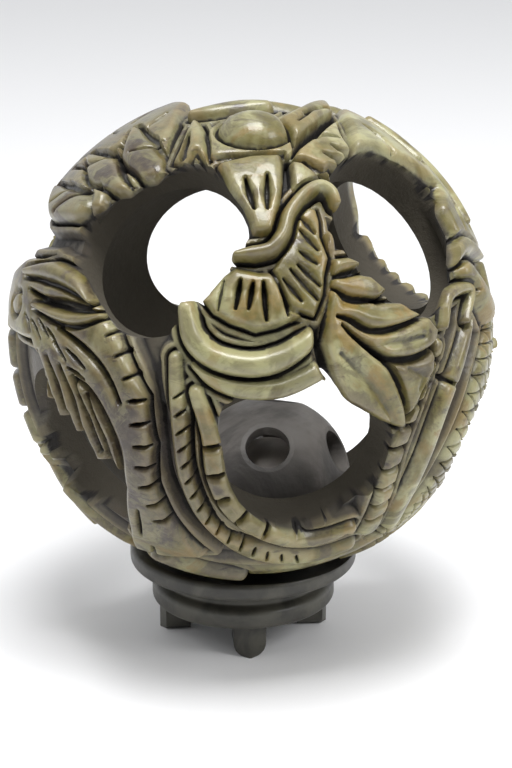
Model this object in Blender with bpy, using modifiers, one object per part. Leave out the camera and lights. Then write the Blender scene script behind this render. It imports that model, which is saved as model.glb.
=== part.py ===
"""A carved stone puzzle ball on its turned stand.

The outer ball is a pierced shell with figures carved all over it: clouds, a pearl, a shell-shaped fan, a
flame tuft, and the bodies and wings of two long creatures. Twelve round holes stand at the corners of an
icosahedron. A dark loose ball with holes of its own lies inside it, and a small one inside that. Everything
is in metres, +Z up. The origin is on the floor, under the middle of the ball, and the front faces -Y.
"""

from itertools import product
from math import asin, atan2, cos, degrees, pi, radians, sin, sqrt

import bmesh
import bpy
import numpy as np

MM = 0.001

# The outer ball
BALL_RADIUS = 40 * MM
GROUND = 0.9  # the plain ground between the figures, as a share of the ball's radius
WALL = 4.5 * MM  # from the ground to the hollow
RIM_RADIUS = 12.3 * MM  # a hole where it opens into the hollow
MOUTH_RADIUS = 13.9 * MM  # the same hole at the ground
MOST_REACH = 6  # degrees that a figure may hang over a hole
LEDGE = (0.8, 0.9)  # shares of the ball's radius between which an overhanging figure is undercut
TOP_HOLE = (-168, 76.5)  # the hole nearest the top: the pattern leans back
NEXT_HOLE = (-168, 13)  # and the next hole down from it
BOTTOM_HOLE = (29, -75)  # this one was cut a little out of the pattern

# The loose balls
TOUCH_GAP = 0.3 * MM
BALL_OVERSIZE = 0.9 * MM  # the dark ball is this much too large to drop through a hole
BALL_FACET = 0.7 * MM  # how deep the flat round each of its holes is cut
BALL_HOLE_RADIUS = 3.5 * MM
BALL_WALL = 3.2 * MM
CORE_PLAY = 1.9 * MM  # the smallest ball is this much smaller than the dark ball's hollow
BALL_TOP_HOLE = (-2, 43)
BALL_NEXT_HOLE = (70, 30)

# The stand
STAND_SHIFT = -1.3 * MM  # its axis is left of the ball's middle
SEAT_RADIUS = 18.4 * MM  # the ring that the ball sits on
LIP = 0.4 * MM  # the stand's edge beyond that ring
PLATE_HEIGHT = 2.8 * MM
NECK_RADIUS = 13.6 * MM
NECK_HEIGHT = 3.4 * MM
FOOT_PLATE_RADIUS = 15.2 * MM
FOOT_PLATE_HEIGHT = 3.2 * MM
FOOT_HEIGHT = 5.5 * MM
FOOT_WIDTH = 5.3 * MM
FOOT_REACH = 14.0 * MM  # the outer face of a foot, from the stand's axis
FOOT_DEPTH = 5.0 * MM
FOOT_KEEL = 0.9 * MM  # how far the ridge down its outer face stands out
KEEL_WIDTH = 0.8 * MM
FOOT_FLAT = 0.3 * MM  # how much of its round end is cut off flat, to stand on
FOOT_COUNT = 4
FOOT_TURN = 5  # degrees that the front foot points right of the front
BEVEL = 0.5 * MM

# How finely things are divided
BALL_DIVISIONS = 7
CARVED_TRIANGLES = 9000  # of the carved ball before it is hollowed and pierced
KEPT_SHARE = 0.48  # of the triangles once it is
HOLE_SIDES = 24
SMALL_HOLE_SIDES = 12
FOOT_POINTS = 6  # on each rounded corner of a foot
STAND_SIDES = 36


def direction(place):
    """The unit vector to a place given in degrees right of the front and degrees above the middle."""
    east, north = radians(place[0]), radians(place[1])
    return np.array([cos(north) * sin(east), -cos(north) * cos(east), sin(north)])


def unit(vectors):
    return vectors / np.linalg.norm(vectors, axis=-1, keepdims=True)


def smooth_path(places, steps=5):
    """A smooth line on the unit ball through the places, as a row of unit vectors."""
    knots = np.array([direction(place) for place in places])
    ends = 2 * knots[0] - knots[1], 2 * knots[-1] - knots[-2]
    knots = np.vstack([ends[0], knots, ends[1]])
    points = []
    for before, a, b, after in zip(knots, knots[1:], knots[2:], knots[3:]):
        for t in np.arange(steps) / steps:
            points.append(
                a
                + (b - before) * t / 2
                + (2 * before - 5 * a + 4 * b - after) * t**2 / 2
                + (3 * a - before - 3 * b + after) * t**3 / 2
            )
    return unit(np.array([*points, knots[-2]]))


class Carving:
    """The height of the carved surface along a set of directions from the ball's middle.

    Places and widths are in degrees, heights are shares of the ball's radius, and a figure's width is
    given from its middle line to its edge, at even steps along it.
    """

    BITE = 0.035  # how deep a figure's outline is cut into what lies round it
    MOAT = 0.9  # how wide that cut is

    def __init__(self, ways):
        self.ways = ways
        self.height = np.full(len(ways), GROUND)
        self.covered = np.zeros(len(ways), bool)
        self.side = 1

    def beside(self, places, widest):
        """The points near a path, their distance from it, the side they are on, and how far along."""
        line = self.side * smooth_path(places)
        middle = unit(line.mean(0))
        spread = np.arccos(np.clip(line @ middle, -1, 1)).max() + radians(widest + self.MOAT)
        near = np.flatnonzero(self.ways @ middle > cos(min(spread, pi)))
        points = self.ways[near]
        off, along, hand = np.full((3, len(near)), 9.0)
        for i, (a, b) in enumerate(zip(line, line[1:])):
            step = b - a
            t = np.clip((points - a) @ step / (step @ step), 0, 1)
            away = np.linalg.norm(points - a - t[:, None] * step, axis=1)
            closer = away < off
            off[closer] = away[closer]
            along[closer] = (i + t[closer]) / (len(line) - 1)
            hand[closer] = np.sign(points[closer] @ np.cross(a, b))
        return near, np.degrees(off), along, hand

    def settle(self, near, figure, outside):
        """Puts a figure in, with its outline cut into what was there before."""
        old = self.height[near]
        sunk = old - self.BITE * np.clip(1 - outside / self.MOAT, 0, 1)
        inside = outside < 0
        bare = np.minimum(old, GROUND)
        self.height[near] = np.maximum(sunk, np.where(inside, figure, bare))
        self.covered[near] |= inside

    def lay(self, places, wide, top=0.98, full=2.0, lean=0.0):
        """A rounded band or leaf along a path. It leans when one edge is lower than the other."""
        near, off, along, hand = self.beside(places, max(wide))
        half = np.interp(along, np.linspace(0, 1, len(wide)), wide)
        across = np.minimum(off / half, 1)
        crown = np.sqrt(1 - across**full) * (1 + lean * hand * across) / (1 + abs(lean))
        self.settle(near, GROUND + (top - GROUND) * crown, off - half)

    def plate(self, corners, top=0.98, edge=1.5, dome=0.0):
        """A flat or domed figure inside an outline."""
        outline = self.side * np.array([direction(corner) for corner in corners])
        middle = unit(outline.mean(0))
        spread = np.arccos(outline @ middle).max() + radians(self.MOAT)
        near = np.flatnonzero(self.ways @ middle > cos(spread))
        east = unit(np.cross((0, 0, 1), middle))
        axes = np.degrees(np.array([east, np.cross(middle, east)]).T)
        points, ring = self.ways[near] @ axes, outline @ axes
        off = np.full(len(near), 90.0)
        inside = np.zeros(len(near), bool)
        for a, b in zip(ring, np.roll(ring, -1, axis=0)):
            t = np.clip((points - a) @ (b - a) / ((b - a) @ (b - a)), 0, 1)
            off = np.minimum(off, np.linalg.norm(points - a - t[:, None] * (b - a), axis=1))
            crosses = (a[1] > points[:, 1]) != (b[1] > points[:, 1])
            turn = (b[0] - a[0]) * (points[:, 1] - a[1]) - (b[1] - a[1]) * (points[:, 0] - a[0])
            inside ^= crosses & ((turn > 0) == (b[1] > a[1]))
        depth = np.where(inside, off, 0)
        rounded = np.sqrt(1 - (1 - np.minimum(depth / edge, 1)) ** 2)
        domed = 1 - dome + dome * np.minimum(depth / depth.max(initial=1), 1)
        figure = GROUND + (top - GROUND) * rounded * domed
        self.settle(near, figure, np.where(inside, -off, off))

    def cut(self, places, wide=(0.3, 0.8, 0.3), deep=0.045):
        """A groove along a path."""
        near, off, along, _ = self.beside(places, max(wide))
        half = np.interp(along, np.linspace(0, 1, len(wide)), wide)
        self.height[near] -= deep * np.clip(1 - (off / half) ** 2, 0, 1)


def pearl_and_crown(carving):
    """Between the two upper holes and the top one: the pearl, its leaf and the cloud lobes beside it."""
    carving.lay([(-120, 71), (-101, 62), (-90, 52), (-82, 41), (-80, 31)], (5, 6, 6, 5, 3), 1.02, 3)
    carving.lay([(-92, 66), (-82, 60), (-72, 50)], (3, 4.5, 2.5), 1.03)
    carving.lay([(-84, 54), (-74, 46), (-66, 37)], (3, 4.5, 2), 1.02)
    carving.lay([(-69, 54), (-56, 48)], (1.5, 3.6), 1.0)
    carving.lay([(-76, 73), (-60, 64), (-52, 54)], (2.5, 4.6, 3), 1.0, 3)
    carving.lay([(-56, 74), (-42, 66), (-34, 59)], (2, 3.2, 1.8), 1.0)
    carving.lay([(-52, 74), (-28, 66), (-20, 57)], (2, 3.4, 2.4), 1.0)
    carving.lay([(-63, 75), (-50, 80), (-28, 84), (16, 82)], (1.5, 3.4, 3.8, 2), 1.0)
    carving.lay([(-18, 67), (-1, 68), (20, 66)], (3.6, 5.6, 5.2, 0.8), 1.01)


def crown_right(carving):
    """Right of the pearl: the long leaves that follow the edge of the upper right hole."""
    carving.lay([(100, 37), (93, 28), (87, 20)], (4, 5, 3), 1.0)
    carving.lay([(105, 50), (97, 41), (88, 31)], (3, 4.6, 3), 1.02)
    carving.lay([(110, 58), (98, 50), (90, 42)], (3, 4.8, 3), 1.02)
    carving.lay([(112, 66), (94, 60), (80, 53)], (3, 4.6, 2.5), 1.01)
    carving.lay([(106, 72), (80, 68), (70, 59)], (3, 4.4, 2.2), 1.01)
    carving.lay([(14, 77), (58, 79), (104, 74)], (3, 5, 4), 1.0, 3)
    carving.lay([(22, 70), (42, 72), (66, 69)], (2, 3.4, 2.4), 0.99)
    carving.lay([(19, 64), (36, 65), (50, 60)], (2.6, 3.4, 1.6), 0.99)
    carving.lay([(15, 59), (28, 60), (36, 55)], (2.6, 3.4, 1.8), 0.99)


def tail_and_scroll(carving):
    """On the neck between the two upper holes: the grooved tail plate and the S-shaped cloud scroll."""
    tail = [(-15, 57), (18, 59), (12, 49), (8, 42), (5, 37), (0, 37), (-2, 44), (-7, 50)]
    carving.plate(tail, 0.98, 2)
    carving.cut([(-2, 53), (1, 45)], (0.3, 1.1, 0.3), 0.05)
    carving.cut([(6, 54), (5, 45)], (0.3, 1.1, 0.3), 0.05)
    carving.cut([(17, 59), (11, 49), (8, 42), (6, 38)], (0.7, 0.9, 0.6), 0.07)
    hairs = [((16, 46), (18, 36)), ((13, 39), (19, 30)), ((11, 34), (18, 25)), ((9, 32), (15, 23))]
    for root, tip in hairs:
        carving.lay([root, tip], (1.6, 1.9, 1.4), 0.965)
    scroll = [(-5, 33), (3, 33), (8, 36), (11, 40), (13, 45), (18, 48), (24, 50), (28, 48)]
    carving.lay(scroll, (1, 2.4, 2.2, 2, 2.4, 2.6), 1.0)
    carving.cut([(20, 45), (21, 42)], (2, 1.6), 0.05)


def shell_and_rolls(carving):
    """Below it: the shell-shaped fan with four slots, and the two cloud rolls under the fan."""
    carving.lay([(-12, 10), (-8, 7), (-2, 5), (6, 5), (15, 8)], (1.6, 2.2, 2.4, 2, 2), 0.975)
    roll = [(-15, 22), (-13, 16), (-8, 12), (0, 10.5), (7, 12), (14, 16)]
    carving.lay(roll, (2.6, 3.2, 3.3, 3.3, 2.6), 1.0)
    fan_top = [(-12, 24), (-7, 30), (-4, 32), (2, 31), (8, 31), (16, 25)]
    fan_foot = [(12, 20), (6, 18), (1, 17), (-5, 19), (-9, 21)]
    carving.plate(fan_top + fan_foot, 1.0, 2.4, 0.3)
    for east in (-3, 0, 3.2, 7.5):
        carving.cut([(east, 28), (east + 0.1 * east, 21)], (0.3, 0.9, 0.3), 0.06)
    carving.lay([(21, 38), (20, 31), (19, 25), (15, 19)], (0.6, 0.8, 0.6), 0.99)
    carving.cut([(17, 25), (15, 16), (16, 10), (20, 3)], (0.6, 1.1, 0.8), 0.08)


def flame_tuft(carving):
    """Right of the fan: five petals that spread from one root, over the rims of two holes."""
    carving.plate([(28, 9), (38, 6), (45, 8), (39, -2)], 0.95, 1.5)
    carving.lay([(17, 14), (25, 7), (32, 0), (35, -8)], (3, 5, 5, 2), 0.985, 3)
    carving.lay([(19, 17), (30, 13.5), (39, 12), (48, 13.5)], (2, 3.6, 3.8, 2), 0.985, 3)
    carving.lay([(17, 22), (25, 21), (36, 20), (46, 18)], (3, 3.4, 3.2, 1.2), 0.985, 3)
    carving.lay([(19, 27), (26, 28), (34, 24)], (1.6, 3.2, 1.2), 0.99)
    carving.lay([(20, 31), (25, 33), (31, 32)], (1, 2, 1), 0.98)


def right_creature(carving):
    """Down the right side: the plated strip, the smooth body and the scaly back of one creature."""
    carving.lay([(66, 22), (75, 12), (84, 0)], (4, 5, 4), 1.0)
    carving.lay([(78, 6), (63, -6), (56, -20), (54, -36), (44, -48)], (4, 4, 4, 4, 3.5), 0.97, 3)
    carving.lay([(62, 12), (50, -4), (46, -17), (45, -30), (48, -40)], (2, 3, 3, 3, 2.5), 0.98)
    strip = [(48, 9), (42, 1), (38, -8), (36, -17), (37, -30), (39, -40)]
    carving.lay(strip, (2, 2.4, 2.6, 2.8, 3.2), 0.965, 4)
    carving.lay([(50, 13), (55, 19), (66, 18), (60, 12)], (1.2, 1.8, 1.8, 1.2), 0.985)
    carving.lay([(62, 26), (74, 27), (85, 21)], (2, 2.8, 1.4), 0.99)


def left_creature(carving):
    """On the left: the head of the other creature, its fanned wing and its long plated body."""
    carving.lay([(-88, 12), (-89, -6), (-86, -22), (-82, -34)], (4, 5, 5, 3), 0.98, 3)
    body = [(-60, 8), (-45, 11), (-34, 4), (-29, -8), (-28, -20), (-29, -34), (-34, -50)]
    carving.lay(body, (5, 5, 5, 4.4, 4.6, 5.4, 6), 0.985, 3)
    back = [(-42, 19), (-35, 15), (-29, 10), (-26, 2), (-25, -10), (-24, -22), (-22, -38)]
    carving.lay(back, (2.2, 2.6, 2.8, 2.4), 0.995)
    tips = [(-53, -5), (-48, -7), (-43, -10), (-38.5, -15), (-34, -22)]
    roots = [(-66, 8), (-58, 9), (-51, 9), (-45, 8), (-41, 6)]
    for root, tip in zip(roots, tips):
        bend = (root[0] * 0.45 + tip[0] * 0.55 + 2.5, root[1] * 0.4 + tip[1] * 0.6 + 2)
        carving.lay([root, bend, tip], (2.2, 2.9, 2.6, 1.4), 0.995, 3, -0.35)
    carving.cut([(-38, 3), (-35, -1), (-32, -8), (-31, -15), (-33, -21)], (0.4, 1.1, 1.1, 0.7), 0.07)
    brow = [(-67, 27), (-58, 28), (-49, 26), (-42, 20)]
    jaw = [(-44, 15), (-56, 12), (-66, 9), (-75, 5), (-78, 15)]
    carving.plate(brow + jaw, 1.01, 4)
    carving.cut([(-64, 20), (-55, 15), (-47, 16), (-40, 20)], (0.5, 1.2, 1.4), 0.06)
    carving.lay([(-56, 19), (-43, 21)], (1.5, 2.2, 1), 0.985)
    carving.cut([(-58, 23), (-50, 23), (-45, 22)], (1, 1.8, 1), 0.04)


def lower_bands(carving):
    """Round the front hole: the hatched band, its notched lip and the broad lip over the stand."""
    carving.lay([(-30, -46), (-38, -54), (-50, -62)], (5, 6, 5), 0.985, 3)
    carving.lay([(-40, -47), (-27, -55), (-6, -60)], (3, 4, 3), 0.995, 3)
    band = [(-17, 11), (-16, -3), (-15, -16), (-11, -30), (2, -44), (20, -49), (34, -46)]
    carving.lay(band, (2, 2.6, 3, 3.6, 3.8, 3), 0.975, 3)
    lip = [(-12, 4), (-9, -6), (-8, -17), (-4, -27), (6, -35.5), (17, -38.5), (29, -36)]
    carving.lay(lip, (2, 2.6, 2.6, 2.6, 2), 0.98, 4)


FIGURES = (
    pearl_and_crown,
    crown_right,
    right_creature,
    lower_bands,
    left_creature,
    shell_and_rolls,
    flame_tuft,
    tail_and_scroll,
)


def carved(ways):
    """All the figures. Each also stands opposite itself, so the back is carved like the front."""
    carving = Carving(ways)
    for carving.side in (-1, 1):
        for figure in FIGURES:
            figure(carving)
    seated = ways[:, 2] < -cos(1.2 * asin(SEAT_RADIUS / BALL_RADIUS))
    carving.height[seated] = np.minimum(carving.height[seated], 1)
    return carving


def corners_of_icosahedron(first, second):
    """Its twelve corners as unit vectors, the first exactly and the second as near as it can be."""
    pole, aim = direction(first), direction(second)
    over = unit(aim - (aim @ pole) * pole)
    aside = np.cross(pole, over)
    ring = [cos(2 * pi * i / 5) * over + sin(2 * pi * i / 5) * aside for i in range(5)]
    upper = [(pole + 2 * spoke) / sqrt(5) for spoke in ring]
    return np.array([pole, *upper, -pole, *(-corner for corner in upper)])


def across(axis):
    """Two unit vectors at right angles to an axis and to each other."""
    first = unit(np.cross(axis, (0, 0, 1) if abs(axis[2]) < 0.9 else (1, 0, 0)))
    return first, np.cross(axis, first)


def make_object(name, bm, collection, material=None):
    bmesh.ops.recalc_face_normals(bm, faces=bm.faces)
    mesh = bpy.data.meshes.new(name)
    bm.to_mesh(mesh)
    bm.free()
    thing = bpy.data.objects.new(name, mesh)
    collection.objects.link(thing)
    if material:
        mesh.materials.append(material)
    return thing


def make_cutter(name, bm, collection):
    cutter = make_object(name, bm, collection)
    cutter.hide_render = True
    cutter.display_type = "WIRE"
    return cutter


def make_collection(name):
    collection = bpy.data.collections.new(name)
    bpy.context.scene.collection.children.link(collection)
    return collection


def stone(name, colour, roughness):
    material = bpy.data.materials.new(name)
    material.use_nodes = True
    shader = material.node_tree.nodes["Principled BSDF"]
    shader.inputs["Base Color"].default_value = (*colour, 1)
    shader.inputs["Roughness"].default_value = roughness
    shader.inputs["Metallic"].default_value = 0
    return material


def ball_mesh(radius, divisions, middle=(0, 0, 0)):
    bm = bmesh.new()
    bmesh.ops.create_icosphere(bm, subdivisions=divisions, radius=radius)
    bmesh.ops.translate(bm, verts=bm.verts, vec=middle)
    return bm


def loft(rings):
    """A closed solid through rings of as many points each, capped at both ends."""
    bm = bmesh.new()
    rows = [[bm.verts.new(point) for point in ring] for ring in rings]
    for low, high in zip(rows, rows[1:]):
        for i, j in enumerate([*range(1, len(low)), 0]):
            bm.faces.new((low[i], low[j], high[j], high[i]))
    bm.faces.new(rows[0])
    bm.faces.new(rows[-1])
    return bm


def round_cutter(axis, middle, sizes, sides=HOLE_SIDES):
    """A turned cutter along an axis, from (height, radius) pairs measured from the middle."""
    u, v = across(axis)
    turns = 2 * np.pi * np.arange(sides) / sides
    spokes = np.cos(turns)[:, None] * u + np.sin(turns)[:, None] * v
    return loft([middle + height * axis + radius * spokes for height, radius in sizes])


def boolean(thing, operation, others):
    modifier = thing.modifiers.new(others.name, "BOOLEAN")
    modifier.operation = operation
    modifier.solver = "EXACT"
    if isinstance(others, bpy.types.Collection):
        modifier.operand_type = "COLLECTION"
        modifier.collection = others
    else:
        modifier.object = others
    return modifier


# Where the pieces stand, worked out from the sizes above
HOLES = corners_of_icosahedron(TOP_HOLE, NEXT_HOLE)
BOTTOM = int(np.argmin(HOLES[:, 2]))
HOLES[BOTTOM] = direction(BOTTOM_HOLE)
HOLLOW_RADIUS = BALL_RADIUS * GROUND - WALL
RIM_HEIGHT = sqrt(HOLLOW_RADIUS**2 - RIM_RADIUS**2)
MOUTH_HEIGHT = sqrt((BALL_RADIUS * GROUND) ** 2 - MOUTH_RADIUS**2)
TAPER = (MOUTH_RADIUS - RIM_RADIUS) / (MOUTH_HEIGHT - RIM_HEIGHT)
SEAT_SPHERE = BALL_RADIUS + TOUCH_GAP
SEAT_HEIGHT = FOOT_HEIGHT + FOOT_PLATE_HEIGHT + NECK_HEIGHT + PLATE_HEIGHT
BALL_CENTRE = np.array([0, 0, SEAT_HEIGHT + sqrt(SEAT_SPHERE**2 - SEAT_RADIUS**2)])
INNER_RADIUS = RIM_RADIUS + BALL_OVERSIZE
CORE_RADIUS = INNER_RADIUS - BALL_WALL - CORE_PLAY
STAND_AXIS = np.array([STAND_SHIFT, 0, 0])


def overhangs(axis, mouth_angle):
    """How far the figures reach over a hole's mouth, in degrees, at each side of its cutter."""
    u, v = across(axis)
    turns = 2 * np.pi * np.arange(HOLE_SIDES) / HOLE_SIDES
    steps = np.arange(0, MOST_REACH, 0.5)
    ways = []
    for turn, step in product(turns, steps):
        angle = radians(mouth_angle - step)
        ways.append(cos(angle) * axis + sin(angle) * (cos(turn) * u + sin(turn) * v))
    covered = carved(np.array(ways)).covered.reshape(HOLE_SIDES, len(steps))
    return 0.5 * np.cumprod(covered, axis=1).sum(axis=1)


def hole_cutter(axis):
    """A tapered plug whose outline is round at the hollow and follows the figures at the mouth."""
    mouth_angle = degrees(atan2(MOUTH_RADIUS, MOUTH_HEIGHT))
    reach = overhangs(axis, mouth_angle)
    held = BALL_RADIUS * (sin(radians(mouth_angle)) - np.sin(np.radians(mouth_angle - reach)))
    u, v = across(axis)
    turns = 2 * np.pi * np.arange(HOLE_SIDES) / HOLE_SIDES
    spokes = np.cos(turns)[:, None] * u + np.sin(turns)[:, None] * v
    low, high = (BALL_RADIUS * share for share in LEDGE)
    rings = []
    for height in (0.8 * RIM_HEIGHT, low, high, 1.12 * BALL_RADIUS):
        share = min(max((height - low) / (high - low), 0), 1)
        radius = RIM_RADIUS + TAPER * (height - RIM_HEIGHT) - held * share
        rings.append(height * axis + radius[:, None] * spokes + BALL_CENTRE)
    return loft(rings)


def outer_ball(collection, material):
    """The carved shell: a ball raised to the figures' heights, hollowed and pierced."""
    bm = ball_mesh(1, BALL_DIVISIONS)
    ways = unit(np.array([vertex.co for vertex in bm.verts]))
    heights = carved(ways).height
    for vertex, way, height in zip(bm.verts, ways, heights):
        vertex.co = BALL_CENTRE + BALL_RADIUS * height * way
    share = CARVED_TRIANGLES / len(bm.faces)
    ball = make_object("outer_ball", bm, collection, material)
    ball.modifiers.new("thin", "DECIMATE").ratio = share
    cutters = make_collection("outer_ball_cutters")
    make_cutter("hollow", ball_mesh(HOLLOW_RADIUS, 4, BALL_CENTRE), cutters)
    for number, axis in enumerate(HOLES):
        make_cutter(f"hole_{number + 1}", hole_cutter(axis), cutters)
    boolean(ball, "DIFFERENCE", cutters)
    ball.modifiers.new("thin_again", "DECIMATE").ratio = KEPT_SHARE
    return ball


def inner_ball(collection, material, middle):
    """The dark loose ball: twelve holes, each in the middle of a flat facet."""
    ball = make_object("inner_ball", ball_mesh(INNER_RADIUS, 3, middle), collection, material)
    cutters = make_collection("inner_ball_cutters")
    make_cutter("inner_hollow", ball_mesh(INNER_RADIUS - BALL_WALL, 3, middle), cutters)
    for number, axis in enumerate(corners_of_icosahedron(BALL_TOP_HOLE, BALL_NEXT_HOLE)):
        flat = INNER_RADIUS - BALL_FACET
        wide = 1.5 * INNER_RADIUS
        facet = round_cutter(axis, middle, [(flat, wide), (flat + wide, wide)], SMALL_HOLE_SIDES)
        make_cutter(f"facet_{number + 1}", facet, cutters)
        bore = [(INNER_RADIUS / 2, BALL_HOLE_RADIUS), (2 * INNER_RADIUS, BALL_HOLE_RADIUS)]
        hole = round_cutter(axis, middle, bore, SMALL_HOLE_SIDES)
        make_cutter(f"small_hole_{number + 1}", hole, cutters)
    boolean(ball, "DIFFERENCE", cutters)
    return ball


def core_ball(collection, material, middle):
    """The smallest ball, lying at the bottom of the dark ball's hollow."""
    return make_object("core_ball", ball_mesh(CORE_RADIUS, 3, middle), collection, material)


def foot(turn):
    """One foot: an upright tongue with a round end, cut flat below, and a ridge down its outer face."""
    out = np.array([sin(turn), -cos(turn), 0])
    aside = np.array([cos(turn), sin(turn), 0])
    half = FOOT_WIDTH / 2
    top = FOOT_HEIGHT + FOOT_PLATE_HEIGHT / 2
    round_middle = half - FOOT_FLAT
    turns = np.linspace(0, asin(round_middle / half), FOOT_POINTS)
    right = [(half * cos(a), round_middle - half * sin(a)) for a in turns[::-1]] + [(half, top)]
    outline = right + [(-x, z) for x, z in right[::-1]]
    rings = []
    for reach, width in ((-FOOT_DEPTH, 1), (-FOOT_KEEL, 1), (0, KEEL_WIDTH / FOOT_WIDTH)):
        middle = STAND_AXIS + (FOOT_REACH + reach) * out
        rings.append([middle + width * x * aside + (0, 0, z) for x, z in outline])
    return loft(rings)


def stand(collection, material):
    """The turned stand: a dished plate, a dark neck, a foot plate and four feet."""
    foot_plate_top = FOOT_HEIGHT + FOOT_PLATE_HEIGHT
    neck_top = foot_plate_top + NECK_HEIGHT
    edge = SEAT_RADIUS + LIP
    profile = [
        (0, SEAT_HEIGHT),
        (edge - BEVEL, SEAT_HEIGHT),
        (edge, SEAT_HEIGHT - BEVEL),
        (edge, neck_top + BEVEL),
        (edge - BEVEL, neck_top),
        (NECK_RADIUS + BEVEL, neck_top - BEVEL),
        (NECK_RADIUS, foot_plate_top + BEVEL),
        (FOOT_PLATE_RADIUS - BEVEL, foot_plate_top),
        (FOOT_PLATE_RADIUS, foot_plate_top - BEVEL),
        (FOOT_PLATE_RADIUS, FOOT_HEIGHT + BEVEL),
        (FOOT_PLATE_RADIUS - BEVEL, FOOT_HEIGHT),
        (0, FOOT_HEIGHT),
    ]
    bm = bmesh.new()
    points = [bm.verts.new((radius, 0, height)) for radius, height in profile]
    for a, b in zip(points, points[1:]):
        bm.edges.new((a, b))
    mesh = bpy.data.meshes.new("stand")
    bm.to_mesh(mesh)
    bm.free()
    body = bpy.data.objects.new("stand", mesh)
    collection.objects.link(body)
    mesh.materials.append(material)
    body.location = STAND_AXIS
    turned = body.modifiers.new("turned", "SCREW")
    turned.steps = turned.render_steps = STAND_SIDES
    turned.use_merge_vertices = True
    turned.merge_threshold = 0.00001
    feet = make_collection("stand_feet")
    for number in range(FOOT_COUNT):
        turn = radians(FOOT_TURN) + 2 * pi * number / FOOT_COUNT
        make_cutter(f"foot_{number + 1}", foot(turn), feet)
    boolean(body, "UNION", feet)
    seat = make_collection("stand_seat")
    make_cutter("dish", ball_mesh(SEAT_SPHERE, 4, BALL_CENTRE), seat)
    boolean(body, "DIFFERENCE", seat)
    return body


def main():
    for thing in list(bpy.data.objects):
        bpy.data.objects.remove(thing, do_unlink=True)
    parts = make_collection("puzzle_ball")
    green = stone("green_stone", (0.45, 0.44, 0.30), 0.35)
    dark = stone("dark_stone", (0.09, 0.09, 0.09), 0.4)
    beige = stone("core_stone", (0.30, 0.28, 0.25), 0.5)
    grey = stone("stand_stone", (0.22, 0.23, 0.20), 0.4)
    outer_ball(parts, green)
    seat = RIM_HEIGHT - sqrt((INNER_RADIUS + TOUCH_GAP) ** 2 - RIM_RADIUS**2)
    middle = BALL_CENTRE + seat * HOLES[BOTTOM]
    inner_ball(parts, dark, middle)
    core_ball(parts, beige, middle - (0, 0, CORE_PLAY - TOUCH_GAP))
    stand(parts, grey)


main()
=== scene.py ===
# %% [markdown]
# A carved stone puzzle ball
# This lesson dresses a packed CAD part: a pierced ball of green stone, carved all over in high relief, with
# a dark ball loose inside it, a third ball inside that, and a small turned stand. The solids already hold
# every piece's place and main shape. Here each piece gets its fine carving, its edges and its stone.

# %% Load the fixed frame
from math import asin, atan2, cos, degrees, pi, radians, sin, sqrt

import bmesh
import bpy
import numpy as np
from mathutils import Matrix, Vector
from mathutils.kdtree import KDTree


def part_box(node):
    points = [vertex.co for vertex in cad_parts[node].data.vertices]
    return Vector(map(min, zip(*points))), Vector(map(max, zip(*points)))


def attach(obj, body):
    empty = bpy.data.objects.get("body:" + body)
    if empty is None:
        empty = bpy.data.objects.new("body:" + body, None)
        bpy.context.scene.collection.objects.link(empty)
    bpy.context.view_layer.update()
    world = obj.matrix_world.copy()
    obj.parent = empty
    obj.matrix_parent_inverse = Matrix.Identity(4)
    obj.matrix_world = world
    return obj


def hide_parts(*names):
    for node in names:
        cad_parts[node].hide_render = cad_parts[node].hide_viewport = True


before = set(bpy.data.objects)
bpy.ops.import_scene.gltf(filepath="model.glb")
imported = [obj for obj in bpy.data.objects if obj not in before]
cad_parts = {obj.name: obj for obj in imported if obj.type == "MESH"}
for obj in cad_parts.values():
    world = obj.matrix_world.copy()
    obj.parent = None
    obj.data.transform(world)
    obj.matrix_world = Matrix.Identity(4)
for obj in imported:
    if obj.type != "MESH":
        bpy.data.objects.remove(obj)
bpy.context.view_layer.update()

# %% [markdown]
# Where things stand
# Directions on the ball are given as a globe's are: degrees right of the front, and degrees above the
# middle. A helper turns such a place into a unit vector. The ball's middle follows from the height of the
# stand and the size of the dish that it lies in.

# %% Sizes and places
MM = 0.001
BALL_RADIUS = 40 * MM
GROUND = 0.9  # the plain ground between the figures, as a share of the ball's radius
WALL = 4.5 * MM  # from the hollow to the plain ground
RIM_RADIUS = 12.3 * MM  # an opening where it meets the hollow
MOUTH_RADIUS = 13.9 * MM  # and where it meets the ground
TOUCH_GAP = 0.3 * MM
STAND_SHIFT = -1.3 * MM  # the ball lies a little to the right on its stand
SEAT_RADIUS = 18.4 * MM
SEAT_HEIGHT = 14.9 * MM
SEAT_SPHERE = BALL_RADIUS + TOUCH_GAP
BALL_CENTRE = np.array([0, 0, SEAT_HEIGHT + sqrt(SEAT_SPHERE**2 - SEAT_RADIUS**2)])


def direction(place):
    """The unit vector to a place in degrees right of the front and degrees above the middle."""
    east, north = radians(place[0]), radians(place[1])
    return np.array([cos(north) * sin(east), -cos(north) * cos(east), sin(north)])


def unit(vectors):
    return vectors / np.linalg.norm(vectors, axis=-1, keepdims=True)


def corners_of_icosahedron(first, second):
    """Its twelve corners as unit vectors, the first exactly and the second as near as it can be."""
    pole, aim = direction(first), direction(second)
    over = unit(aim - (aim @ pole) * pole)
    aside = np.cross(pole, over)
    ring = [cos(2 * pi * i / 5) * over + sin(2 * pi * i / 5) * aside for i in range(5)]
    upper = [(pole + 2 * spoke) / sqrt(5) for spoke in ring]
    return np.array([pole, *upper, -pole, *(-corner for corner in upper)])


HOLES = corners_of_icosahedron((-168, 76.5), (-168, 13))
HOLES[np.argmin(HOLES[:, 2])] = direction((29, -75))  # the bottom one, where the dark ball rests
print("middle of the ball:", BALL_CENTRE, "openings:", len(HOLES))

# %% [markdown]
# The camera
# The openings' places in the photo fit a camera about 34 cm from the ball, looking 17 degrees down on it.
# A long lens frames the ball from there. A small shift puts the ball high in the upright frame, as it is in
# the photo, while the camera still points at the ball's middle.

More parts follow.
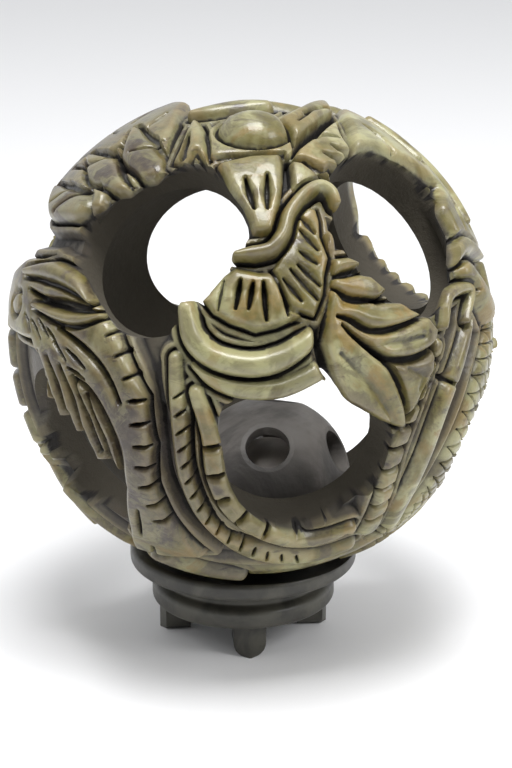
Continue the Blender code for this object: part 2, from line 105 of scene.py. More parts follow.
# %% The camera
CAMERA_DISTANCE = 0.34
CAMERA_PITCH = 17
CAMERA_LENS = 98.5
FRAME_SHIFT = (0.0066, -0.0642)


def aim_at_ball(thing, place, distance):
    """Puts a camera or a lamp at a place round the ball and turns it to the ball's middle."""
    way = direction(place)
    thing.location = Vector(BALL_CENTRE + distance * way)
    thing.rotation_euler = Vector(-way).to_track_quat("-Z", "Y").to_euler()
    return thing


def link(name, data):
    """A new object in the scene."""
    thing = bpy.data.objects.new(name, data)
    bpy.context.scene.collection.objects.link(thing)
    return thing


def set_camera():
    data = bpy.data.cameras.new("photo_camera")
    data.lens = CAMERA_LENS
    data.sensor_width = 36
    data.shift_x, data.shift_y = FRAME_SHIFT
    data.clip_start = 0.01
    camera = aim_at_ball(link("photo_camera", data), (0, CAMERA_PITCH), CAMERA_DISTANCE)
    bpy.context.scene.camera = camera
    return camera


print("camera at", tuple(round(value, 3) for value in set_camera().location))

# %% [markdown]
# Floor and light
# The photo shows a pale floor that runs into a pale background, and light from nearly all round. The ball's
# front stays dark, so the camera's side of the room must be dimmer. A large floor, a white world that fades
# towards the camera and three soft panels give that. The panels give the polish its shine.

# %% The room
ROOM_WHITE = (0.86, 0.87, 0.88)
PAPER_WHITE = (0.84, 0.84, 0.85)
BRIGHT_SIDE = (0, 0.85, 0.5)  # behind the ball and above it
SKY_FADE = {"From Min": -0.5, "From Max": 0.6, "To Min": 0.25, "To Max": 0.97}
FLOOR_RADIUS = 3
PANEL_SIZE = 0.3
PANELS = {  # the place round the ball, the distance in metres and the power in watts
    "top": ((10, 78), 0.6, 4.2),
    "left": ((-62, 40), 0.7, 0.5),
    "right": ((60, 35), 0.8, 2.1),
}


def set_sky():
    """A white world that is dimmer on the camera's side."""
    world = bpy.data.worlds.new("tent")
    bpy.context.scene.world = world
    world.use_nodes = True
    nodes, links = world.node_tree.nodes, world.node_tree.links
    sky = nodes["Background"]
    sky.inputs["Color"].default_value = (*ROOM_WHITE, 1)
    way = nodes.new("ShaderNodeTexCoord")
    facing = nodes.new("ShaderNodeVectorMath")
    facing.operation = "DOT_PRODUCT"
    facing.inputs[1].default_value = BRIGHT_SIDE
    shade = nodes.new("ShaderNodeMapRange")
    shade.interpolation_type = "SMOOTHSTEP"
    for label, value in SKY_FADE.items():
        shade.inputs[label].default_value = value
    links.new(way.outputs["Generated"], facing.inputs[0])
    links.new(facing.outputs["Value"], shade.inputs["Value"])
    links.new(shade.outputs["Result"], sky.inputs["Strength"])
    bpy.context.scene.view_settings.view_transform = "Standard"


def set_floor():
    bm = bmesh.new()
    bmesh.ops.create_circle(bm, cap_ends=True, radius=FLOOR_RADIUS, segments=96)
    mesh = bpy.data.meshes.new("floor")
    bm.to_mesh(mesh)
    bm.free()
    paper = bpy.data.materials.new("white_paper")
    paper.use_nodes = True
    shader = paper.node_tree.nodes["Principled BSDF"]
    shader.inputs["Base Color"].default_value = (*PAPER_WHITE, 1)
    shader.inputs["Roughness"].default_value = 0.7
    mesh.materials.append(paper)
    link("floor", mesh)


def soft_panel(name, place, distance, power):
    """A square area light that faces the ball."""
    data = bpy.data.lights.new(name, "AREA")
    data.size = PANEL_SIZE
    data.energy = power
    aim_at_ball(link(name, data), place, distance)


set_sky()
set_floor()
for name, settings in PANELS.items():
    soft_panel(name, *settings)
print("lights:", list(PANELS))

# %% [markdown]
# Shader maths in Python
# A stone's colour is a sum of masks: edges, hollows, veins and patches. Written as nodes by hand such sums
# are hard to follow. A small class wraps a socket, so that + and * on it add Math nodes, as does 1 - mask,
# and one method of the material's class makes any other node.

# %% A socket that can be reckoned with


class Amount:
    """A value that varies over a surface."""

    def __init__(self, finish, socket):
        self.finish = finish
        self.socket = socket

    def math(self, operation, *others, clamp=False):
        values = dict(enumerate((self, *others)))
        return self.finish.node("ShaderNodeMath", {"operation": operation, "use_clamp": clamp}, values)

    def __add__(self, other):
        return self.math("ADD", other)

    def __mul__(self, other):
        return self.math("MULTIPLY", other)

    def __rsub__(self, other):
        return (self * -1) + other

    __radd__ = __add__
    __rmul__ = __mul__

    def clamp(self):
        return self.math("ADD", 0, clamp=True)

    def between(self, low, high):
        """0 below low, 1 above high, and a smooth step from one to the other."""
        ends = {"Value": self, "From Min": low, "From Max": high}
        return self.finish.node("ShaderNodeMapRange", {"interpolation_type": "SMOOTHSTEP"}, ends)


class Finish:
    """A procedural material."""

    def __init__(self, name, **fixed):
        self.material = bpy.data.materials.new(name)
        self.material.use_nodes = True
        self.tree = self.material.node_tree
        self.shader = self.tree.nodes["Principled BSDF"]
        for label, value in fixed.items():
            self.shader.inputs[label.replace("_", " ")].default_value = value
        self.place = self.node("ShaderNodeTexCoord", output="Object")

    def put(self, socket, value):
        if isinstance(value, Amount):
            self.tree.links.new(value.socket, socket)
        elif isinstance(value, tuple) and len(value) == 3 and socket.type == "RGBA":
            socket.default_value = (*value, 1)
        else:
            socket.default_value = value

    def node(self, kind, settings=(), sockets=(), output=0):
        made = self.tree.nodes.new(kind)
        for name, value in dict(settings).items():
            setattr(made, name, value)
        for name, value in dict(sockets).items():
            self.put(made.inputs[name], value)
        return Amount(self, made.outputs[output])

    def attribute(self, name):
        return self.node("ShaderNodeAttribute", {"attribute_name": name}, output="Fac")

    def noise(self, scale, detail=3, roughness=0.5, distortion=0.0, stretch=(1, 1, 1)):
        place = self.place
        if stretch != (1, 1, 1):
            place = self.node("ShaderNodeMapping", (), {"Vector": place, "Scale": stretch})
        sizes = {"Vector": place, "Scale": scale, "Detail": detail, "Roughness": roughness}
        return self.node("ShaderNodeTexNoise", (), {**sizes, "Distortion": distortion})

    def blend(self, share, first, second):
        """One colour over another. Colours are on the Mix node's seventh and eighth sockets."""
        settings = {"data_type": "RGBA", "clamp_factor": True}
        return self.node("ShaderNodeMix", settings, {0: share, 6: first, 7: second}, output=2)

    def bump(self, height, depth):
        """A bumpy normal from a height between 0 and 1, depth metres from low to high."""
        return self.node("ShaderNodeBump", (), {"Height": height, "Distance": depth, "Strength": 1.0})

    def paint(self, **varying):
        for label, value in varying.items():
            self.put(self.shader.inputs[label.replace("_", " ")], value)
        return self.material


print("shader helpers are ready")

# %% [markdown]
# Carving as heights
# The real ball was turned round, then its figures were cut down from the surface with a chisel. So the
# carving can be seen as one height for each direction from the ball's middle. A figure raises the height
# inside its outline and cuts a groove round it. Figures laid later lie on top of those laid before.

# %% The carver's strokes


def smooth_path(places, steps=8):
    """A smooth line on the unit ball through places, or through unit vectors, as a row of unit vectors."""
    knots = np.array([direction(place) if len(place) == 2 else place for place in places])
    ends = 2 * knots[0] - knots[1], 2 * knots[-1] - knots[-2]
    knots = np.vstack([ends[0], knots, ends[1]])
    points = []
    for before, a, b, after in zip(knots, knots[1:], knots[2:], knots[3:]):
        for t in np.arange(steps) / steps:
            points.append(
                a
                + (b - before) * t / 2
                + (2 * before - 5 * a + 4 * b - after) * t**2 / 2
                + (3 * a - before - 3 * b + after) * t**3 / 2
            )
    return unit(np.array([*points, knots[-2]]))


class Carving:
    """The height of the carved surface along a set of directions from the ball's middle.

    Widths are in degrees, heights are shares of the ball's radius, and a figure's width is given from its
    middle line to its edge, at even steps along it.
    """

    BITE = 0.03  # how deep a figure's outline is cut into what lies round it
    MOAT = 0.8  # how wide that cut is
    BED = 0.945  # how high the stone stands between figures that are close to each other
    BESIDE = 1.5  # how far that stone reaches from a figure
    FOOT = 0.93  # how high a figure stands at its very edge
    BACK_TICKS = 0.4  # how much shallower the short grooves are on the back

    def __init__(self, ways):
        self.ways = ways
        self.height = np.full(len(ways), GROUND)
        self.covered = np.zeros(len(ways), bool)
        self.side = 1

    def beside(self, places, widest, steps=8):
        """The points near a path, their distance from it, how far along, and the side they are on."""
        line = self.side * smooth_path(places, steps)
        middle = unit(line.mean(0))
        spread = np.arccos(np.clip(line @ middle, -1, 1)).max() + radians(widest + 2 * self.BESIDE)
        near = np.flatnonzero(self.ways @ middle > cos(min(spread, pi)))
        points = self.ways[near]
        off, along, hand = np.full((3, len(near)), 9.0)
        for i, (a, b) in enumerate(zip(line, line[1:])):
            step = b - a
            t = np.clip((points - a) @ step / (step @ step), 0, 1)
            away = np.linalg.norm(points - a - t[:, None] * step, axis=1)
            closer = away < off
            off[closer] = away[closer]
            along[closer] = (i + t[closer]) / (len(line) - 1)
            hand[closer] = np.sign(points[closer] @ np.cross(a, b))
        return near, np.degrees(off), along, hand

    def settle(self, near, figure, outside):
        """Puts a figure in, with its outline cut into what was there before."""
        bank = np.clip((2 * self.BESIDE - outside) / self.BESIDE, 0, 1)
        old = np.maximum(self.height[near], GROUND + (self.BED - GROUND) * bank)
        near_edge = np.clip(1 - outside / self.MOAT, 0, 1)
        sunk = old - self.BITE * near_edge**2 * (3 - 2 * near_edge)
        inside = outside < 0
        self.height[near] = np.where(inside, np.maximum(sunk, figure), sunk)
        self.covered[near] |= inside

    def bare(self, place, radius):
        """Plain ground round a place."""
        off = np.degrees(np.arccos(np.clip(self.ways @ (self.side * direction(place)), -1, 1)))
        share = np.clip((radius + 2 - off) / 2, 0, 1)
        self.height += (np.minimum(self.height, GROUND) - self.height) * share
        self.covered &= off > radius

    def lay(self, places, wide, top=0.98, full=3.0, lean=0.0):
        """A band or leaf along a path, the flatter the larger full is. It leans when one edge is lower."""
        near, off, along, hand = self.beside(places, max(wide))
        half = np.interp(along, np.linspace(0, 1, len(wide)), wide)
        across = np.minimum(off / half, 1)
        crown = (1 - across**full) * (1 + lean * hand * across) / (1 + abs(lean))
        self.settle(near, self.FOOT + (top - self.FOOT) * crown, off - half)

    def boss(self, place, radii, tilt=0, top=1.0):
        """An oval dome. Tilt turns it, in degrees, against the clock."""
        middle = self.side * direction(place)
        near = np.flatnonzero(self.ways @ middle > cos(radians(max(radii) + 2 * self.BESIDE)))
        east = unit(np.cross((0, 0, 1), middle))
        north = np.cross(middle, east)
        first = cos(radians(tilt)) * east + sin(radians(tilt)) * north
        flat = np.degrees(self.ways[near] @ np.array([first, np.cross(middle, first)]).T) / radii
        out = np.linalg.norm(flat, axis=1)
        dome = np.sqrt(np.clip(1 - out**2, 0, 1))
        self.settle(near, self.FOOT + (top - self.FOOT) * dome, (out - 1) * min(radii))

    def plate(self, corners, top=0.98, edge=1.5, dome=0.0):
        """A flat or domed figure inside an outline."""
        outline = self.side * np.array([direction(corner) for corner in corners])
        middle = unit(outline.mean(0))
        spread = np.arccos(outline @ middle).max() + radians(2 * self.BESIDE)
        near = np.flatnonzero(self.ways @ middle > cos(spread))
        east = unit(np.cross((0, 0, 1), middle))
        axes = np.degrees(np.array([east, np.cross(middle, east)]).T)
        points, ring = self.ways[near] @ axes, outline @ axes
        off = np.full(len(near), 90.0)
        inside = np.zeros(len(near), bool)
        for a, b in zip(ring, np.roll(ring, -1, axis=0)):
            t = np.clip((points - a) @ (b - a) / ((b - a) @ (b - a)), 0, 1)
            off = np.minimum(off, np.linalg.norm(points - a - t[:, None] * (b - a), axis=1))
            crosses = (a[1] > points[:, 1]) != (b[1] > points[:, 1])
            turn = (b[0] - a[0]) * (points[:, 1] - a[1]) - (b[1] - a[1]) * (points[:, 0] - a[0])
            inside ^= crosses & ((turn > 0) == (b[1] > a[1]))
        depth = np.where(inside, off, 0)
        rounded = 1 - (1 - np.minimum(depth / edge, 1)) ** 2.5
        domed = 1 - dome + dome * np.minimum(depth / depth.max(initial=1), 1)
        figure = self.FOOT + (top - self.FOOT) * rounded * domed
        self.settle(near, figure, np.where(inside, -off, off))

    def cut(self, places, wide=(0.3, 0.8, 0.3), deep=0.045):
        """A groove along a path."""
        near, off, along, _ = self.beside(places, 2.2 * max(wide))
        half = np.interp(along, np.linspace(0, 1, len(wide)), wide)
        sides = np.clip(1 - (off / (2.2 * half)) ** 2, 0, 1) ** 2
        self.height[near] -= deep * (0.35 * sides + 0.65 * np.clip(1 - (off / half) ** 2, 0, 1))

    def cuts(self, grooves, wide=(0.3, 0.8, 0.3), deep=0.045):
        """Several grooves of one width and depth."""
        for groove in grooves:
            self.cut(groove, wide, deep)

    def ticks(self, places, count, reach, wide=0.4, deep=0.02, slant=0.0, ends=(0, 1)):
        """Even short grooves across a path. Reach is how far each runs to its right and left."""
        depth = deep if self.side > 0 else self.BACK_TICKS * deep
        line = smooth_path(places)
        gone = np.concatenate([[0], np.cumsum(np.linalg.norm(np.diff(line, axis=0), axis=1))])
        for spot in gone[-1] * np.linspace(*ends, count):
            on, ahead = (
                unit(np.array([np.interp(spot + step, gone, line[:, axis]) for axis in range(3)]))
                for step in (-0.01, 0.01)
            )
            middle = unit(on + ahead)
            way = unit(ahead - on)
            right = np.cross(way, middle)
            first, last = (unit(middle + radians(far) * (right + slant * way)) for far in reach)
            self.cut([first, last], (wide, wide, 0.5 * wide), depth)


SPOTS = 4000


def tried(*figures):
    """The share of the ball's front and back that figures cover, on a coarse spiral of directions."""
    spots = np.arange(SPOTS)
    height = 1 - (2 * spots + 1) / SPOTS
    turn = pi * (1 + sqrt(5)) * spots
    flat = np.sqrt(1 - height**2)
    carving = Carving(np.array([flat * np.cos(turn), flat * np.sin(turn), height]).T)
    for carving.side in (-1, 1):
        for figure in figures:
            figure(carving)
    return f"{100 * carving.covered.mean():.0f} % of the ball"


print("strokes:", [name for name in vars(Carving) if name[0] != "_" and name.islower()])

# %% [markdown]
# The crown of the ball
# Round the top opening lie cloud lobes and leaves, with a pearl in front. The pearl is an oval dome. Lobes
# are bands along a path, leaves are plates inside an outline, and each is laid over its neighbour.

# %% Pearl, crown and the leaves to its right


def pearl_and_crown(carving):
    """Between the two upper holes and the top one: the cloud mass, a leaf, the far band and the pearl."""
    carving.plate([(-26, 58), (20, 59), (26, 70), (18, 79), (-22, 77), (-30, 66)], 0.97, 1)
    near_edge = [(-62, 72), (-45, 66), (-36, 56), (-40, 52), (-46, 47), (-52, 48), (-49, 41), (-56, 38)]
    far_edge = [(-67, 38), (-72, 34), (-95, 33), (-125, 45), (-128, 68), (-100, 76)]
    carving.bare((-82, 26), 10)
    carving.plate(near_edge + far_edge, 0.985, 2.5)
    for lobe in (
        [(-92, 38), (-76, 38), (-60, 40)],
        [(-84, 50), (-66, 50), (-48, 49)],
        [(-76, 62), (-57, 58), (-40, 54)],
    ):
        carving.lay(lobe, (1.5, 5, 4), 1.0, 4, -0.25)
    folds = (
        [(-62, 72), (-44, 64), (-35, 55)],
        [(-69, 55), (-53, 51), (-44, 48)],
        [(-88, 45), (-75, 49), (-69, 57)],
        [(-72, 36), (-68, 42), (-58, 46)],
    )
    carving.cuts(folds, (0.5, 1.0, 0.6), 0.035)
    scratches = (
        [(-57, 56), (-46, 62)],
        [(-90, 62), (-110, 66)],
        [(-68, 64), (-76, 70)],
        [(-80, 36), (-77, 41)],
        [(-100, 44), (-86, 50)],
        [(-106, 54), (-88, 58)],
    )
    carving.cuts(scratches, (0.3, 0.6, 0.3), 0.025)
    leaf_foot = [(-52, 72), (-42, 66), (-35, 57), (-28, 57), (-25, 60), (-17, 57)]
    leaf_top = [(-22, 64), (-31, 70), (-42, 73)]
    carving.plate(leaf_foot + leaf_top, 0.985, 3)
    carving.cut([(-37, 66), (-31, 59)], (0.6, 1.2, 1.0), 0.05)
    carving.lay([(-58, 74), (-48, 78), (-20, 83), (28, 83)], (1.5, 3, 3.6, 2.4), 0.985)
    carving.boss((2, 70), (8.4, 7.2), -4, 1.03)


def crown_right(carving):
    """Right of the pearl: two leaves, and the long band along the far edge of the upper right hole."""
    upper_rim = [(85, 69), (61, 64), (51, 59), (65, 57), (73, 52)]
    right_rim = [(79, 47), (83, 41), (72, 38), (70, 33), (68, 26)]
    carving.plate([*upper_rim, *right_rim, (90, 20), (110, 35), (118, 55), (112, 68)], 0.985, 2.5)
    notches = (
        [(80, 63), (78, 59), (73, 54)],
        [(102, 55), (99, 50), (96, 44)],
        [(111, 65), (107, 60)],
        [(84, 36), (78, 30)],
    )
    carving.cuts(notches, (0.3, 0.9, 0.4), 0.035)
    carving.lay([(106, 48), (96, 40), (86, 30)], (2, 3.5, 2), 1.0)
    carving.lay([(106, 60), (98, 54), (90, 48)], (2, 3.5, 2), 1.0)
    far_leaf = [(20, 74), (60, 78), (112, 74), (116, 69), (87, 70), (52, 69), (34, 66), (23, 64)]
    carving.plate(far_leaf, 0.99, 2.5)
    carving.cuts(([(48, 74), (84, 72)], [(34, 71), (60, 74)]), (0.3, 0.6, 0.3), 0.02)
    top = [(22, 62), (38, 66), (78, 69), (60, 65)]
    right_edge = [(50, 58), (44, 58.5), (43, 56), (38, 57), (36, 54)]
    left_edge = [(32, 55), (30, 51), (26, 54), (22, 57), (17, 59)]
    carving.plate(top + right_edge + left_edge, 0.985, 1.8)
    carving.cut([(23, 63), (40, 68), (87, 70)], (0.5, 1.3, 0.6), 0.06)
    carving.cut([(66, 68), (55, 63), (50, 58)], (0.5, 1.2, 1.0), 0.06)
    carving.cut([(34, 64), (41, 65), (49, 63)], (0.3, 0.8, 0.4), 0.035)
    folds = ([(40, 61), (44, 58.5)], [(33, 59), (38, 57)], [(23, 58), (28, 55), (32, 54.5)])
    carving.cuts(folds, (0.4, 0.9, 0.8), 0.045)


print("the crown covers", tried(pearl_and_crown, crown_right))

# %% [markdown]
# The neck between the two upper openings
# A grooved plate comes down from the pearl and ends in a rounded lip over a dark pit. An S-shaped scroll
# starts round the pit and curls up to the right. Fine strands fall from it on the right.

# %% Tail plate, scroll and strands


def tail_and_scroll(carving):
    """On the neck between the two upper holes: the grooved tail plate and the S-shaped cloud scroll."""
    strands_right = [(15, 47), (21, 45), (21, 42), (20, 38), (21, 33), (19, 29), (18, 25)]
    strands_left = [(15, 20), (9, 22), (5, 31), (9, 36)]
    carving.plate(strands_right + strands_left, 0.965, 1.4)
    strands = (
        [(15, 43), (18, 39)],
        [(14, 40), (18, 35)],
        [(13, 35), (17, 32)],
        [(12, 32), (17, 27)],
        [(10, 31), (16, 24)],
        [(8, 29), (12, 24)],
    )
    carving.cuts(strands, (0.3, 0.8, 0.4), 0.022)
    tail_right = [(-15, 58), (0, 61), (15, 61), (13, 52), (10, 44), (7, 39)]
    tail_left = [(3, 38), (0, 39), (-1, 42), (-3, 46), (-8, 50)]
    carving.plate(tail_right + tail_left, 0.985, 2.5)
    carving.plate([(16, 59), (22, 58), (27, 53), (19, 51), (13, 47)], 0.975, 1.5)
    carving.cuts(([(-2, 53), (1, 45)], [(6, 54), (5, 45)]), (0.3, 1.0, 0.3), 0.045)
    carving.cut([(16, 59), (13, 52), (10, 45), (7, 39.5)], (0.5, 1.0, 1.0, 0.7), 0.07)
    carving.cut([(1, 37.5), (5, 37.5)], (1.5, 1.5), 0.06)
    curl = [(27, 45), (27, 48), (24, 50), (19, 49), (14, 46)]
    foot = [(11, 43), (9, 39), (6, 36), (3, 35), (-1, 34.5), (-4, 34)]
    carving.lay(curl + foot, (1.6, 2.2, 2.1, 2, 2.1, 2.3, 2.3, 1.4), 1.005, 2.4)


print("the neck's carving covers", tried(tail_and_scroll))

# %% [markdown]
# The fan and its rolls
# Below the neck hangs a shell-shaped fan with four slots. The slots were cut with one push of a narrow
# chisel, so each is deepest in its middle. Two cloud rolls curve under the fan like a collar.

# %% Fan, slots and rolls


def shell_and_rolls(carving):
    """Below the neck: the shell-shaped fan with four slots, and the two cloud rolls under the fan."""
    lower_roll = [(-12, 10), (-8, 7), (-2, 5), (6, 5), (13, 7.5), (19, 10.5)]
    carving.lay(lower_roll, (1.6, 2.4, 2.6, 2.6, 2.6), 0.975)
    upper_roll = [(-15, 22), (-13, 16), (-8, 12), (0, 10.5), (7, 12), (14, 16)]
    carving.lay(upper_roll, (2.6, 3.2, 3.3, 3.3, 2.6), 1.0)
    fan_top = [(-12, 24), (-7, 30), (-4, 32), (2, 31), (8, 31), (16, 25)]
    fan_foot = [(12, 20), (6, 18), (1, 17), (-5, 19), (-9, 21)]
    carving.plate(fan_top + fan_foot, 1.0, 2.4, 0.3)
    slots = (
        [(-2.5, 28.5), (-3.5, 22.5)],
        [(0.5, 28), (-0.5, 22.5)],
        [(3, 28), (3.5, 20)],
        [(7.5, 29), (8.5, 21)],
    )
    carving.cuts(slots, (0.3, 0.8, 0.7, 0.3), 0.06)
    carving.cut([(-6.5, 28.5), (-7.5, 22)], (0.3, 0.6, 0.3), 0.02)
    carving.lay([(21, 38), (20, 31), (19, 25), (15, 19)], (0.6, 0.8, 0.6), 0.99)
    carving.cut([(17, 25), (15, 16), (16, 10), (20, 3)], (0.6, 1.1, 0.8), 0.08)


print("the fan and its rolls cover", tried(shell_and_rolls))

# %% [markdown]
# The flame tuft
# Right of the fan five petals spread from one root. The two largest hang over the rims of the openings,
# where the stone below them was cut away. Deep crescent grooves part them.

# %% Five petals


def flame_tuft(carving):
    """Right of the fan: five petals that spread from one root, over the rims of two holes."""
    small_tips = [(21, 33), (26, 33), (30, 31), (27, 29), (31, 28), (35, 24), (31, 22)]
    large_tips = [(38, 21), (45, 17), (48, 13), (46, 9), (45, 4), (40, -2), (36, -8)]
    root = [(30, -5), (21, 1), (18, 6), (16, 14), (18, 23)]
    carving.plate(small_tips + large_tips + root, 0.985, 1.8)
    hollows = (
        [(22, 22.5), (32, 20), (43, 18)],
        [(26, 13.5), (33, 12.5), (42, 12.5)],
        [(20, 12), (27, 4), (33, -5)],
        [(37, 6), (41, 4), (40, 1)],
    )
    carving.cuts(hollows, (0.8, 1.3, 0.8), 0.015)
    crescents = (
        [(20, 28.5), (25, 29), (28, 29.5)],
        [(20, 26), (24, 23.5), (32, 22)],
        [(20, 20), (23, 19), (28, 16), (35, 15.5), (46, 17)],
        [(21, 18), (24, 15), (31, 9.5), (38, 8), (44, 9), (47.5, 11)],
        [(24, 15), (30, 10), (33, 6), (36, -1), (37, -7)],
    )
    carving.cuts(crescents, (0.4, 1.1, 1.1, 0.5), 0.055)
    carving.cut([(20, 38), (20, 32), (18, 25), (15, 19), (16, 10), (18, 6)], (0.5, 0.9, 0.9, 0.5), 0.06)


print("the tuft covers", tried(flame_tuft))

# %% [markdown]
# The two creatures
# Two long bodies run down the ball, one on each side, and meet under it. The right one shows a plated
# strip, a smooth flank and a scaly back. The left one shows its head, a fanned wing and a belly whose
# plates are marked with short dashes. Dashes come from one helper that walks along a path at even steps.

# %% The creature on the right


def right_creature(carving):
    """Down the right side: the plated strip, the smooth body and the scaly back of one creature."""
    carving.lay([(66, 22), (75, 12), (84, 0)], (4, 5, 4), 1.0)
    back = [(82, 6), (71, -8), (65, -22), (62, -38), (50, -50)]
    carving.lay(back, (6, 8.5, 9, 9, 6), 0.975, 6)
    for slant in (0.6, -0.6):
        carving.ticks(back, 17, (-8, 7.5), 0.35, 0.016, slant, (0.02, 0.97))
    carving.lay([(62, 12), (50, -4), (46, -17), (45, -30), (48, -40)], (2, 3, 3, 3, 2.5), 0.98)
    carving.ticks([(62, 8), (52, -6), (48.5, -17), (48, -30)], 11, (-1.6, 0.6), 0.4, 0.02, 0.3)
    strip = [(48, 9), (42, 1), (38, -8), (36, -17), (37, -30), (39, -40)]
    carving.lay(strip, (2, 2.4, 2.6, 2.8, 3.2), 0.965, 4)
    carving.ticks(strip, 9, (-2.6, 2.2), 0.7, 0.045, 0.25, (0.06, 0.9))
    carving.lay([(50, 13), (55, 19), (66, 18), (60, 12)], (1.2, 1.8, 1.8, 1.2), 0.985)
    carving.lay([(62, 26), (74, 27), (85, 21)], (2, 2.8, 1.4), 0.99)
    carving.cut([(48, 2), (53, -1)], (0.6, 0.9, 0.5), 0.04)
    carving.cut([(68.5, 17), (59, 10)], (0.4, 0.7, 0.4), 0.04)


print("the right creature covers", tried(right_creature))

# %% The creature on the left


def left_creature(carving):
    """On the left: the head of the other creature, its fanned wing and its long plated body."""
    carving.bare((-78.5, -33), 4)
    far = [(-88, 12), (-89, -6), (-86, -20), (-82, -27)]
    carving.lay(far, (4, 5, 5, 3), 0.98, 4)
    carving.ticks(far, 5, (-4, 4), 0.8, 0.04)
    head = [(-76, 5), (-86, 10), (-87, 18), (-75, 24), (-62, 27), (-53, 26), (-46, 24), (-37, 20)]
    flank = [(-31, 15), (-26, 7), (-23, 2), (-22, -10), (-23, -20), (-21, -31), (-14, -46)]
    belly = [(-29, -49), (-47, -50), (-37, -36)]
    long_feathers = [(-32, -22), (-35.5, -16), (-38, -16.5), (-41, -9), (-43, -12), (-45, -6)]
    short_feathers = [(-48, -9), (-50, -4), (-53, -6), (-55, 3), (-60, 7)]
    carving.plate(head + flank + belly + long_feathers + short_feathers, 0.985, 2)
    carving.cut([(-42, 3), (-38, 1), (-34, -4.5), (-31.5, -12), (-32, -21)], (0.4, 1.1, 1.3, 0.9), 0.07)
    carving.cut([(-49, 13), (-42, 11), (-36, 8), (-32, 4), (-29.5, 0)], (0.4, 0.9, 0.9, 0.5), 0.055)
    quills = (
        [(-50, -5), (-53, 1), (-56, 6)],
        [(-45.5, -7), (-48, 0), (-52, 6)],
        [(-41, -10), (-43, -2), (-47, 5)],
        [(-36.5, -13), (-39, -5), (-43, 3.5)],
        [(-33.5, -20), (-35, -10), (-39, 0)],
    )
    carving.cuts(quills, (0.9, 0.9, 0.4), 0.05)
    cheek_lines = (
        [(-60, 12), (-55, 9)],
        [(-57, 13), (-52, 10)],
        [(-53, 12), (-48, 9)],
        [(-50, 9.5), (-45, 6.5)],
        [(-45, 9), (-39, 6)],
        [(-64, 12.5), (-60, 9.5)],
        [(-44, 5), (-39, 3.5)],
        [(-64.5, 6), (-59, 7.5)],
    )
    carving.cuts(cheek_lines, (0.3, 0.6, 0.3), 0.03)
    upper_seam = [(-33, 15), (-29.5, 10), (-26.5, 4), (-25.5, -3)]
    lower_seam = [(-25, -10), (-25.5, -18), (-24.5, -26), (-24, -31)]
    carving.ticks(upper_seam + lower_seam, 10, (-1.9, 1.4), 0.5, 0.035, 0.05)
    carving.cut([(-29.5, -28), (-33, -38)], (0.3, 0.6, 0.3), 0.03)
    carving.cut([(-31.5, -42.5), (-36, -49.5)], (0.3, 0.5, 0.3), 0.03)
    carving.lay([(-70, 21), (-58, 24), (-47, 23.5), (-40, 20.5)], (1.5, 3, 2.6, 1), 1.005, 2.4)
    carving.lay([(-60, 15.5), (-50, 15.5), (-43, 16), (-36, 18)], (1, 1.9, 1.9, 0.8), 1.0, 2.4)
    carving.cut([(-65, 18), (-57, 17.5), (-49, 18.5), (-40, 19)], (0.4, 1.1, 1.3, 0.6), 0.05)
    eye = [(-73.5, 15.5), (-76, 12), (-71.5, 10), (-68, 13), (-70, 16), (-73.5, 15.5)]
    carving.cut(eye, (0.6, 0.6), 0.035)
    inner_edge = [(-22, 9), (-20, -5), (-20, -18), (-17, -30), (-10, -42), (-4, -50)]
    carving.cut(inner_edge, (1.1, 1.6, 1.9, 1.9, 1.4), 0.05)


print("the left creature covers", tried(left_creature))

# %% [markdown]
# The bands under the front opening
# A hatched band comes down on the left of the front opening and turns right below it. Its inner lip is cut
# into square teeth along the rim. A broad flap from the left lies over it where the ball meets the stand.

# %% Bands, teeth and flap


def lower_bands(carving):
    """Round the front hole: the hatched band, its notched lip and the broad lip over the stand."""
    carving.lay([(-30, -46), (-38, -54), (-50, -62)], (5, 6, 5), 0.985, 3)
    carving.lay([(-10, -59), (15, -60), (36, -55), (52, -50)], (4, 5, 5, 4), 0.965, 4)
    carving.lay([(-40, -47), (-27, -55), (-6, -60)], (3, 4, 3), 0.995, 3)
    band = [(-17, 11), (-16, -3), (-15, -16), (-11, -30), (2, -44), (20, -49), (34, -46)]
    carving.lay(band, (2, 2.6, 3, 3.6, 3.8, 3), 0.975, 3)
    carving.ticks(band, 16, (-2.0, 0.4), 0.4, 0.025, 0.6, (0.1, 0.85))
    lip = [(-12, 4), (-9, -6), (-8, -17), (-4, -27), (6, -35.5), (17, -38.5), (29, -36)]
    carving.lay(lip, (2, 2.6, 2.6, 2.6, 2), 0.98, 4)
    inner = [(-10, -8.5), (-9.5, -15), (-9, -21.5), (-5, -28), (1, -32.5), (9.5, -35.5), (21.5, -33)]
    carving.ticks(inner, 7, (-2.6, 0.8), 0.75, 0.06, 0.1)
    between = [(-13, -0.5), (-13, -16), (-7, -33), (8, -40.5), (21, -41), (28, -37)]
    carving.cut(between, (0.4, 0.7, 0.7, 0.4), 0.05)


print("the lower bands cover", tried(lower_bands))

# %% [markdown]
# All the figures together
# The order matters, as the later figures lie on the earlier ones. The photo shows nothing of the back, so
# each figure also stands opposite itself there, a little plainer. Where the ball lies in the stand's dish,
# nothing may rise above the ball's own radius.

# %% Every figure in its turn
SEATED = 1.2  # how far up the ball the flattened part reaches, as a share of the dish's own reach
FIGURES = (
    pearl_and_crown,
    crown_right,
    right_creature,
    lower_bands,
    left_creature,
    shell_and_rolls,
    flame_tuft,
    tail_and_scroll,
)


def carved(ways):
    """All the figures, the back's first, so that the front's lie on top where they meet."""
    carving = Carving(ways)
    for carving.side in (-1, 1):
        for figure in FIGURES:
            figure(carving)
    seated = ways[:, 2] < -cos(SEATED * asin(SEAT_RADIUS / BALL_RADIUS))
    carving.height[seated] = np.minimum(carving.height[seated], 1)
    return carving


print("figures:", [figure.__name__ for figure in FIGURES])

